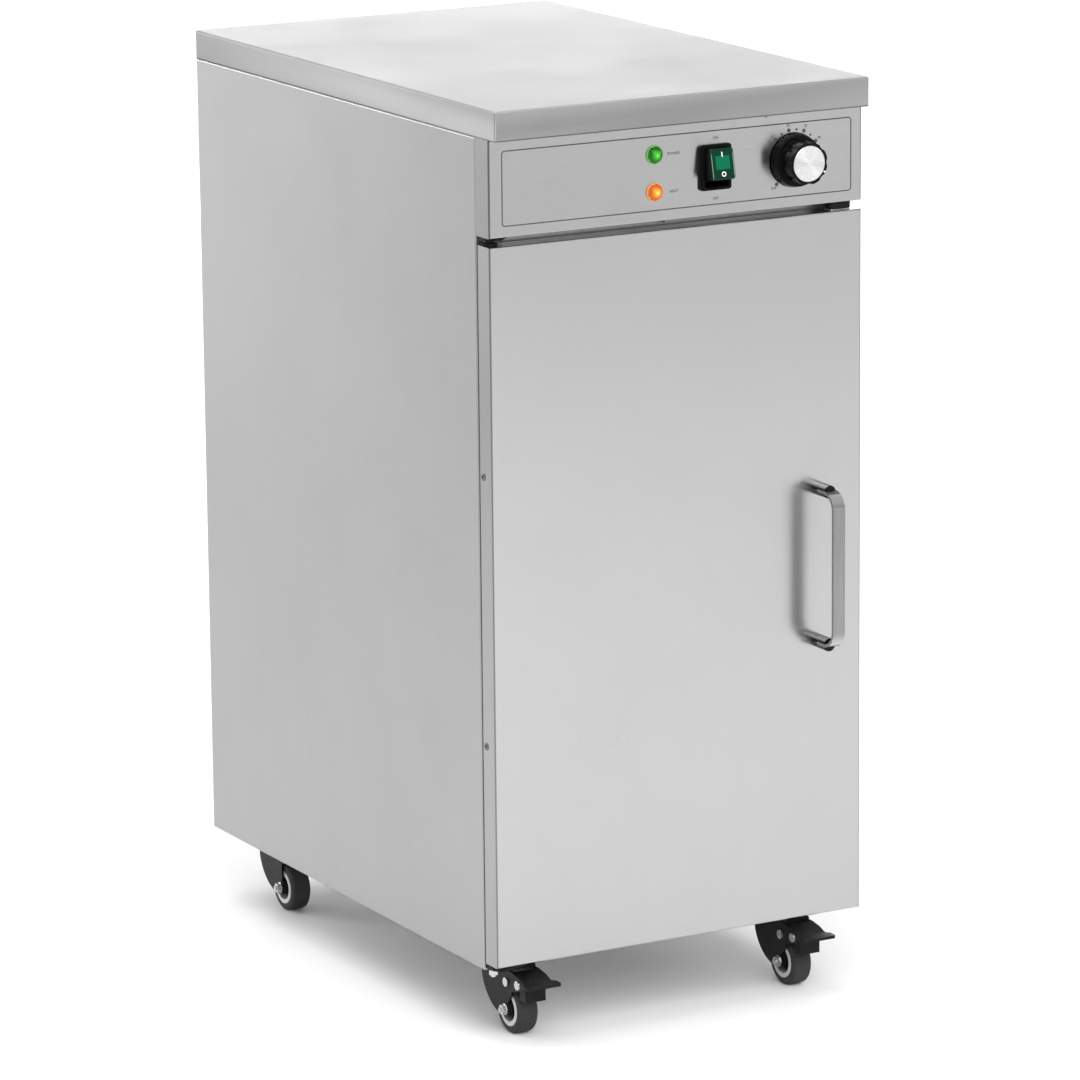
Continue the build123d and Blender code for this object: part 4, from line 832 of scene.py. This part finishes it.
def roundedLoop(width, height, corner, steps):
    return geo("FilletCurve", Curve=rectangle(width, height), Radius=corner, Count=steps, mode="POLY")


# Fastener heads: domed, with a cross recess where its depth isn't 0, on points that face outwards.
fastenerForm = {"sides": 24, "rings": 4, "armLength": 1.1, "armWidth": 0.26, "shankSides": 12}


def buildFastenerTree():
    form = fastenerForm
    given = newTree("fasteners", Radius=0.0038, Height=0.0018, Wall=0.4, Recess=0.001, Shank_Radius=0.0015,
                    Shank_Length=0.006)
    radius, height, wall, recess, shankRadius, length = list(given)[1:7]
    half = times(height, 0.5)
    head = geo("MeshCylinder", Vertices=form["sides"], Side_Segments=1, Fill_Segments=form["rings"],
               Radius=radius, Depth=height)
    head = moveTo(head, combine(z=half))
    spot = partsOf(geo("InputPosition"))
    share = calc("DIVIDE", lengthOf(combine(spot["X"], spot["Y"])), radius)
    drop = times(share, share, calc("SUBTRACT", 1.0, wall), height, -1.0)
    head = geo("SetPosition", Geometry=head, Selection=calc("GREATER_THAN", spot["Z"], half),
               Offset=combine(z=drop))
    arm, slot, deep = times(radius, form["armLength"]), times(radius, form["armWidth"]), times(recess, 2.0)
    bars = [moveTo(geo("MeshCube", Size=size), combine(z=height))
            for size in (combine(arm, slot, deep), combine(slot, arm, deep))]
    crossed = geo("MeshBoolean", head, bars, operation="DIFFERENCE")
    hasCross = addNode("FunctionNodeCompare", recess, 0.0, operation="GREATER_THAN")[0]
    head = geo("Switch", hasCross, head, crossed, input_type="GEOMETRY")
    shank = geo("MeshCylinder", Vertices=form["shankSides"], Radius=shankRadius, Depth=length)
    shank = moveTo(shank, combine(z=times(length, -0.5)))
    facing = geo("InputNamedAttribute", Name="facing", data_type="FLOAT_VECTOR")
    turn = addNode("FunctionNodeAlignRotationToVector", Vector=facing, axis="Z")[0]
    placed = geo("InstanceOnPoints", Points=given["Geometry"], Rotation=turn,
                 Instance=geo("JoinGeometry", [head, shank]))
    return closeTree(given, placed)


def pointMesh(places, facings):
    mesh = bpy.data.meshes.new("points")
    mesh.from_pydata([tuple(place) for place in places], [], [])
    facing = mesh.attributes.new("facing", "FLOAT_VECTOR", "POINT")
    for item, direction in zip(facing.data, facings):
        item.vector = direction
    return mesh


def screwPlaces(node):
    # for each screw: where its head sits, which way it faces, and its head's and shank's sizes
    found = []
    rimNear = 0.1 * mm
    for points in islandsOf(node):
        low, high = [Vector([end(point[k] for point in points) for k in range(3)]) for end in (min, max)]
        size = high - low
        middle = (low + high) / 2
        axis = max(range(3), key=lambda k: size[k])
        radii = {}
        for sign, end in ((-1, low[axis]), (1, high[axis])):
            rim = [p - middle for p in points if abs(p[axis] - end) < rimNear]
            radii[sign] = max(p.length_squared - p[axis] ** 2 for p in rim) ** 0.5
        sign = 1 if radii[1] > radii[-1] else -1
        facing = Vector([0, 0, 0])
        facing[axis] = sign
        top = middle.copy()
        top[axis] = (high if sign > 0 else low)[axis]
        found.append({"top": top, "facing": facing, "radius": sorted(size)[1] / 2, "shank": radii[-sign],
                      "length": size[axis]})
    return found


fastenerTree = buildFastenerTree()
screwHeads = table(
    "height wall recess finish",
    cabinet_screws=(1.1, 0.45, 0.75, "zincPlate"),
    door_side_screws=(1.1, 0.35, 0.6, "dullZinc"))
# the heads that face down, below the panel and the rim, are matt black and have a flange this many
# times wider; the black and the wider flange are partly their own dark heads and partly painted
# shade under the panel and the rim
downHead = {"radius": 1.45, "height": 2.4, "finish": "mattBlack"}


def makeScrews(node):
    look = screwHeads[node]
    groups = {}
    for screw in screwPlaces(node):
        key = (round(screw["radius"], 5), round(screw["length"], 5), screw["facing"].z < -0.5)
        groups.setdefault(key, []).append(screw)
    meshes = []
    for (radius, length, down), screws in groups.items():
        height = (downHead["height"] if down else look["height"]) * mm
        seats = [screw["top"] - screw["facing"] * height for screw in screws]
        points = pointMesh(seats, [screw["facing"] for screw in screws])
        made = runTree(
            node + "Set", fastenerTree, look["finish"], points, Height=height, Wall=look["wall"],
            Radius=radius * (downHead["radius"] if down else 1), Recess=look["recess"] * height,
            Shank_Radius=screws[0]["shank"], Shank_Length=length - height)
        for face in made.data.polygons:
            face.material_index = int(down)
        meshes.append(takeMesh(made))
    piece = newPiece(node + "Heads", joinMeshes(meshes), look["finish"], downHead["finish"])
    smoothFaces(piece.data, 30)
    return standFor(piece, node)


makeScrews("cabinet_screws")
makeScrews("door_side_screws")
print("screws ready")


# Printed line round the controls: a rounded rectangle of flat ink.
def buildOutlineTree():
    given = newTree("printedOutline", Width=0.37, Tall=0.07, Corner=0.003, Line=0.0008, Ink=0.0001)
    loop = roundedLoop(given["Width"], given["Tall"], given["Corner"], 6)
    return closeTree(given, sweep(loop, rectangle(given["Line"], given["Ink"])))


# Dial marks: discs on an arc, counted clockwise from straight up, in a flat drawing.
def buildDialTree():
    given = newTree("dialMarks", Ring=0.0287, First=0.0, Step=0.5, Count=5, Dot=0.0009, Ink=0.0001)
    angle = calc("MULTIPLY_ADD", geo("InputIndex"), given["Step"], given["First"])
    spot = combine(times(calc("SINE", angle), given["Ring"]), times(calc("COSINE", angle), given["Ring"]))
    points = geo("SetPosition", Geometry=geo("MeshLine", Count=given["Count"]), Position=spot)
    disc = geo("MeshCylinder", Vertices=16, Radius=given["Dot"], Depth=given["Ink"])
    return closeTree(given, geo("InstanceOnPoints", Points=points, Instance=disc))


outlineTree = buildOutlineTree()
dialTree = buildDialTree()

# Angles are clockwise from straight up, and sizes and places are millimetres.
panelPrint = {
    "ink": 0.08, "bold": 0.012,
    "outline": {"x": (-186.0, 188.0), "z": (786.7, 856.0), "corner": 3.0, "line": 1.15},
    "words": [("POWER", -5.0, 838.4, 3.8), ("HEAT", -4.6, 803.1, 3.8), ("ON", 40.3, 849.2, 3.6),
              ("OFF", 40.1, 792.2, 3.6)],
    "ring": 28.7, "dot": 1.95, "smallDot": 1.15, "off": -139.0, "first": -44.6, "step": 33.6, "dots": 6,
    "numbers": ["OFF", "30", "50", "70", "90", "110"], "numberRing": 33.4, "numberSize": 3.5,
}


def onPanel(mesh, x, z):
    # lays a flat drawing on the control panel
    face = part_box("control_panel")[0].y - panelPrint["ink"] * mm / 2
    mesh.transform(Matrix.Translation((x * mm, face, z * mm)) @ toFront)
    return mesh


def printWords(words, x, z, size):
    curve = bpy.data.curves.new("words", "FONT")
    curve.body = words
    curve.size = size * mm
    curve.align_x, curve.align_y = "CENTER", "CENTER"
    curve.extrude = panelPrint["ink"] * mm / 2
    curve.offset = panelPrint["bold"] * size * mm
    drawn = bpy.data.objects.new("words", curve)
    scene.collection.objects.link(drawn)
    mesh = bpy.data.meshes.new_from_object(drawn.evaluated_get(bpy.context.evaluated_depsgraph_get()))
    bpy.data.objects.remove(drawn)
    return onPanel(mesh, x, z)


def printPanel():
    look = panelPrint
    line = look["outline"]
    ink, (left, right), (bottom, top) = look["ink"] * mm, line["x"], line["z"]
    knob = middleOf("knob") / mm
    made = runTree("outline", outlineTree, "greyInk", Width=(right - left) * mm, Tall=(top - bottom) * mm,
                   Corner=line["corner"] * mm, Line=line["line"] * mm, Ink=ink)
    meshes = [onPanel(takeMesh(made), (left + right) / 2, (bottom + top) / 2)]
    dots = [(look["dot"], look["off"], 1), (look["dot"], look["first"], look["dots"]),
            (look["smallDot"], look["first"] + look["step"] / 2, look["dots"] - 1)]
    for size, first, count in dots:
        made = runTree("dots", dialTree, "greyInk", Ring=look["ring"] * mm, First=radians(first),
                       Step=radians(look["step"]), Count=count, Dot=size * mm, Ink=ink)
        meshes.append(onPanel(takeMesh(made), knob.x, knob.z))
    meshes += [printWords(*words) for words in look["words"]]
    angles = [look["off"], *[look["first"] + look["step"] * count for count in range(look["dots"])]]
    for angle, number in zip(angles, look["numbers"]):
        x = knob.x + look["numberRing"] * sin(radians(angle))
        z = knob.z + look["numberRing"] * cos(radians(angle))
        meshes.append(printWords(number, x, z, look["numberSize"]))
    mesh = joinMeshes(meshes)
    mesh.materials.clear()
    return settle(newPiece("panelPrint", mesh, "greyInk"), "cabinet")


printPanel()
print("panel print ready")

controls = {
    "power_lamp": ("powerLens", 0.3),
    "heat_lamp": ("heatLens", 0.3),
    "switch_housing": ("switchHousing", 0.5),
    "rocker_button": ("rockerButton", 0.3, 2, 50),
    "knob": ("knobBody", 0.5, 3, 30),
    "knob_cap": ("knobCap", 0.5, 3, 40),
}
rockerFront = 0.45  # faces that look less than this towards -Y are gloss black: painted shade on the rocker's sides
paintFaces(roundCopies(controls)["rocker_button"], "glossBlack", lambda face: face.normal.y > -rockerFront)

# face: how far the rocker's face is from its pivot, which is sunk behind the panel's face
rockerMarks = {"tilt": 12.0, "face": 24.0, "pivotSunk": 8.0, "bar": (1.1, 4.6), "barRise": 8.8, "ring": 2.4,
               "ringLine": 0.95, "ringRise": -9.6, "ringSteps": 32, "ink": 0.08}


# The rocker's bar and ring, drawn flat and laid on its tilted face.
def markRocker():
    look = rockerMarks
    shape = bmesh.new()
    bar = bmesh.ops.create_cube(shape, size=1)["verts"]
    bmesh.ops.scale(shape, vec=(*look["bar"], look["ink"]), verts=bar)
    bmesh.ops.translate(shape, vec=(0, look["barRise"], 0), verts=bar)
    angles = [2 * pi * k / look["ringSteps"] for k in range(look["ringSteps"])]
    outer, inner, lift = look["ring"], look["ring"] - look["ringLine"], look["ink"] / 2
    rings = [[(radius * cos(angle), look["ringRise"] + radius * sin(angle), level) for angle in angles]
             for radius, level in ((outer, lift), (outer, -lift), (inner, -lift), (inner, lift))]
    mesh = bridgeRings(shape, rings)
    pivot = Vector((middleOf("rocker_button").x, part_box("control_panel")[0].y + look["pivotSunk"] * mm,
                    middleOf("switch_housing").z))
    tilt = Matrix.Rotation(radians(-look["tilt"]), 4, "X")
    flat = Matrix.Translation((0, -(look["face"] + look["ink"] / 2) * mm, 0)) @ toFront @ Matrix.Scale(mm, 4)
    mesh.transform(Matrix.Translation(pivot) @ tilt @ flat)
    return settle(newPiece("rockerMarks", mesh, "whiteInk"), "power_switch")


markRocker()

pointer = {"angle": 118.0, "inner": 17.6, "grip": 20.0, "down": 7.0, "wide": 1.7, "lift": 0.08, "sunk": 0.6,
           "bevel": 0.5}


# The knob's pointer: a white line let into the grip's front rim and down its side.
def markKnob():
    look = pointer
    front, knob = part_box("knob")[0].y / mm, middleOf("knob")
    out, top, low = look["grip"] + look["lift"], front - look["lift"], front + look["down"]
    deep = front + look["sunk"]
    profile = [(look["inner"], top), (out - look["bevel"], top), (out, top + look["bevel"]), (out, low),
               (out - look["sunk"], low), (out - look["sunk"], deep), (look["inner"], deep)]
    sides = [[(half, y, radius) for radius, y in profile] for half in (-look["wide"] / 2, look["wide"] / 2)]
    mesh = bridgeRings(bmesh.new(), sides, closed=False)
    turn = Matrix.Rotation(radians(look["angle"]), 4, "Y")
    mesh.transform(Matrix.Translation((knob.x, 0, knob.z)) @ turn @ Matrix.Scale(mm, 4))
    return settle(newPiece("knobPointer", mesh, "whiteInk"), "thermostat_knob")


markKnob()
print("controls ready")

lidLow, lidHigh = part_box("top_cover")
lidBend = {"edge": 1.2, "near": 0.05}


def onLidRim(first, second):
    # both ends on the same two outer faces of the lid: its top border and its corners
    def onFaces(point):
        gaps = (point.x - lidLow.x, lidHigh.x - point.x, point.y - lidLow.y, lidHigh.y - point.y,
                lidHigh.z - point.z)
        return [abs(gap) < lidBend["near"] * mm for gap in gaps]
    return sum(one and other for one, other in zip(onFaces(first), onFaces(second))) >= 2


roundedCopy("top_cover", "lidShell", lidBend["edge"], 3, chosen=onLidRim)

# The handle's round feet start this far behind the strap's front; from there back they take the painted
# highlight and shade, and the strap's flat sides keep the bright handle steel.
handleLook = {"edge": 0.8, "feetBehind": 8.5, "sideways": 0.999}
handle = roundedCopy("door_handle", "doorHandle", handleLook["edge"], 3)
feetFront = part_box("door_handle")[0].y + handleLook["feetBehind"] * mm
paintFaces(handle, "stubPaintedShade", lambda face: face.center.y > feetFront
           and abs(face.normal.x) < handleLook["sideways"])

hardware = {
    "cable_gland": ("cableGland", 0.4),
    "hinge_bracket_lower": ("hingeBracketLower", 0.3),
    "hinge_bracket_upper": ("hingeBracketUpper", 0.3),
    "hinge_bushes": ("hingeBushes", 0.3),
    "door_catch": ("doorCatch", 0.4),
    "catch_strike": ("catchStrike", 0.2, 1),
    "handle_nuts": ("handleNuts", 0.3),
    "heating_element": ("heatingElement", 0.2, 1),
}
hingeNutTop = 76.3  # the zinc nut of the lower hinge ends here
lowerHinge = roundCopies(hardware)["hinge_bracket_lower"]
paintWhere(lowerHinge, "zincPlate", lambda point: point.z < hingeNutTop * mm)


# Wire shelf: a bent frame rod, two cross rods and wires laid across them, round its own middle.
def buildShelfTree():
    given = newTree("wireShelf", Half_Width=0.166, Half_Length=0.245, Corner=0.012, Rod_Radius=0.0025,
                    Wire_Radius=0.0015, Wires=13, Weld=0.0004, Cross_Inset=0.15)
    width, length, corner, rod, wire, count, weld, crossInset = list(given)[1:9]
    rodSection = geo("CurvePrimitiveCircle", Resolution=14, Radius=rod)
    wireSection = geo("CurvePrimitiveCircle", Resolution=10, Radius=wire)
    loop = roundedLoop(times(width, 2.0), times(length, 2.0), corner, 8)
    across = geo("CurvePrimitiveLine", Start=combine(times(width, -1.0)), End=combine(width))
    crossRod = sweep(across, rodSection, True)
    inset = calc("SUBTRACT", length, crossInset)
    rods = [moveTo(crossRod, combine(y=y)) for y in (inset, times(inset, -1.0))]
    step = calc("DIVIDE", times(width, 2.0), calc("ADD", count, 1.0))
    lift = calc("SUBTRACT", calc("ADD", rod, wire), weld)
    start = combine(calc("SUBTRACT", step, width), 0.0, lift)
    spots = geo("MeshLine", Count=count, Start_Location=start, Offset=combine(step))
    along = geo("CurvePrimitiveLine", Start=combine(y=times(length, -1.0)), End=combine(y=length))
    wires = geo("InstanceOnPoints", Points=spots, Instance=sweep(along, wireSection, True))
    rim = sweep(loop, rodSection)
    return closeTree(given, geo("JoinGeometry", [rim, *rods, wires]))


shelfTree = buildShelfTree()
shelfWires = {"rod": 2.5, "wire": 1.5, "count": 13, "corner": 12.0, "weld": 0.4, "crossInset": 150.0}


def makeShelf(node, name):
    low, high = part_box(node)
    look, middle, rod = shelfWires, (low + high) / 2, shelfWires["rod"] * mm
    made = runTree(
        name, shelfTree, finishOf[node], Half_Width=(high.x - low.x) / 2 - rod,
        Half_Length=(high.y - low.y) / 2 - rod, Corner=look["corner"] * mm, Rod_Radius=rod,
        Wire_Radius=look["wire"] * mm, Wires=look["count"], Weld=look["weld"] * mm,
        Cross_Inset=look["crossInset"] * mm)
    made.data.transform(Matrix.Translation((middle.x, middle.y, low.z + rod)))
    smoothFaces(made.data, 40)
    return standFor(made, node)


makeShelf("wire_shelf_lower", "shelfWiresLower")
makeShelf("wire_shelf_upper", "shelfWiresUpper")

# half: the seal's half width. section: across the seal (from its middle) and out from the door, as
# shares of its half width and depth.
seal = {"half": 5.0, "section": [
    (-1.0, 0.0), (-1.0, 0.30), (-0.72, 0.36), (-0.86, 0.60), (-0.62, 0.88), (-0.25, 1.0), (0.25, 1.0),
    (0.62, 0.88), (0.86, 0.60), (0.72, 0.36), (1.0, 0.30), (1.0, 0.0)]}


# Door seal: a bulb on a flat foot.
def makeSeal():
    low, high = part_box("door_gasket")
    rings = [[], [], [], []]  # one at each corner
    for aside, out in seal["section"]:
        y, inset = low.y + out * (high.y - low.y), (1 - aside) * seal["half"] * mm
        left, right, bottom, top = low.x + inset, high.x - inset, low.z + inset, high.z - inset
        for ring, (x, z) in zip(rings, ((left, bottom), (right, bottom), (right, top), (left, top))):
            ring.append((x, y, z))
    mesh = bridgeRings(bmesh.new(), rings)
    smoothFaces(mesh, 50)
    return standFor(newPiece("doorSeal", mesh, finishOf["door_gasket"]), "door_gasket")


makeSeal()


# Wool batts: a copy of each slab, remeshed and pressed in unevenly by noise.
def buildBattTree():
    given = newTree("woolBatts", Depth=0.003, Tuft_Size=60.0, Seed=4.0)
    tufts = addNode("ShaderNodeTexNoise", Vector=geo("InputPosition"), W=given["Seed"],
                    Scale=given["Tuft Size"], Detail=3.0, noise_dimensions="4D")["Fac"]
    push = scaled(geo("InputNormal"), times(tufts, given["Depth"], -1.0))
    moved = geo("SetPosition", Geometry=given["Geometry"], Offset=push)
    return closeTree(given, geo("SetShadeSmooth", Geometry=moved))


battTree = buildBattTree()
woolBatts = {"cell": 9.0, "depth": 3.5, "tufts": 60.0, "seed": 4.0}


def makeBatts(node, name):
    look = woolBatts
    piece = newPiece(name + "Block", meshOf(mergedShape(node)))
    remesh = piece.modifiers.new("cells", "REMESH")
    remesh.mode = "VOXEL"
    remesh.voxel_size = look["cell"] * mm
    applyModifiers(piece)
    made = runTree(name, battTree, finishOf[node], takeMesh(piece), Depth=look["depth"] * mm,
                   Tuft_Size=look["tufts"], Seed=look["seed"])
    return standFor(made, node)


makeBatts("insulation_slabs", "woolBatts")
makeBatts("door_insulation", "doorWool")
print("inside ready")

casterParts = {
    "caster_fork_": ("fork_", 0.5),
    "caster_wheel_": ("wheel_", 0.5),
    "caster_tyre_": ("tyre_", 1.6, 4, 25),
    "brake_pedal_": ("brakePedal_", 0.5),
}
# forkHalf: what stands outside this from the swivel axis is the axle and its nut. hubReach: the wheel
# is dark inside this radius. The rivet's places are from the axle.
casterLook = {"forkHalf": 13.25, "hubReach": 12.45}
pedalRivet = {"ahead": 28.0, "up": 31.0, "reach": 4.9, "half": 15.05}


def makeCaster(corner):
    made = roundCopies({part + corner: (name + corner, *look)
                        for part, (name, *look) in casterParts.items() if part + corner in nodes})
    axle = middleOf("caster_wheel_" + corner)
    rivet = axle + Vector((0, -pedalRivet["ahead"], pedalRivet["up"])) * mm
    paintWhere(made["caster_fork_" + corner], "zincPlate",
               lambda point: abs(point.x - axle.x) > casterLook["forkHalf"] * mm)
    paintWhere(made["caster_wheel_" + corner], "casterBlack",
               lambda point: (point - axle).yz.length < casterLook["hubReach"] * mm)
    if "front" in corner:
        paintWhere(made["brake_pedal_" + corner], "zincPlate",
                   lambda point: (point - rivet).yz.length < pedalRivet["reach"] * mm
                   and abs(point.x - rivet.x) > pedalRivet["half"] * mm)


for corner in corners:
    makeCaster(corner)
roundCopies({"caster_plates": ("casterPlates", 0.4), "caster_bolts": ("casterBolts", 0.5)})
print("casters ready")
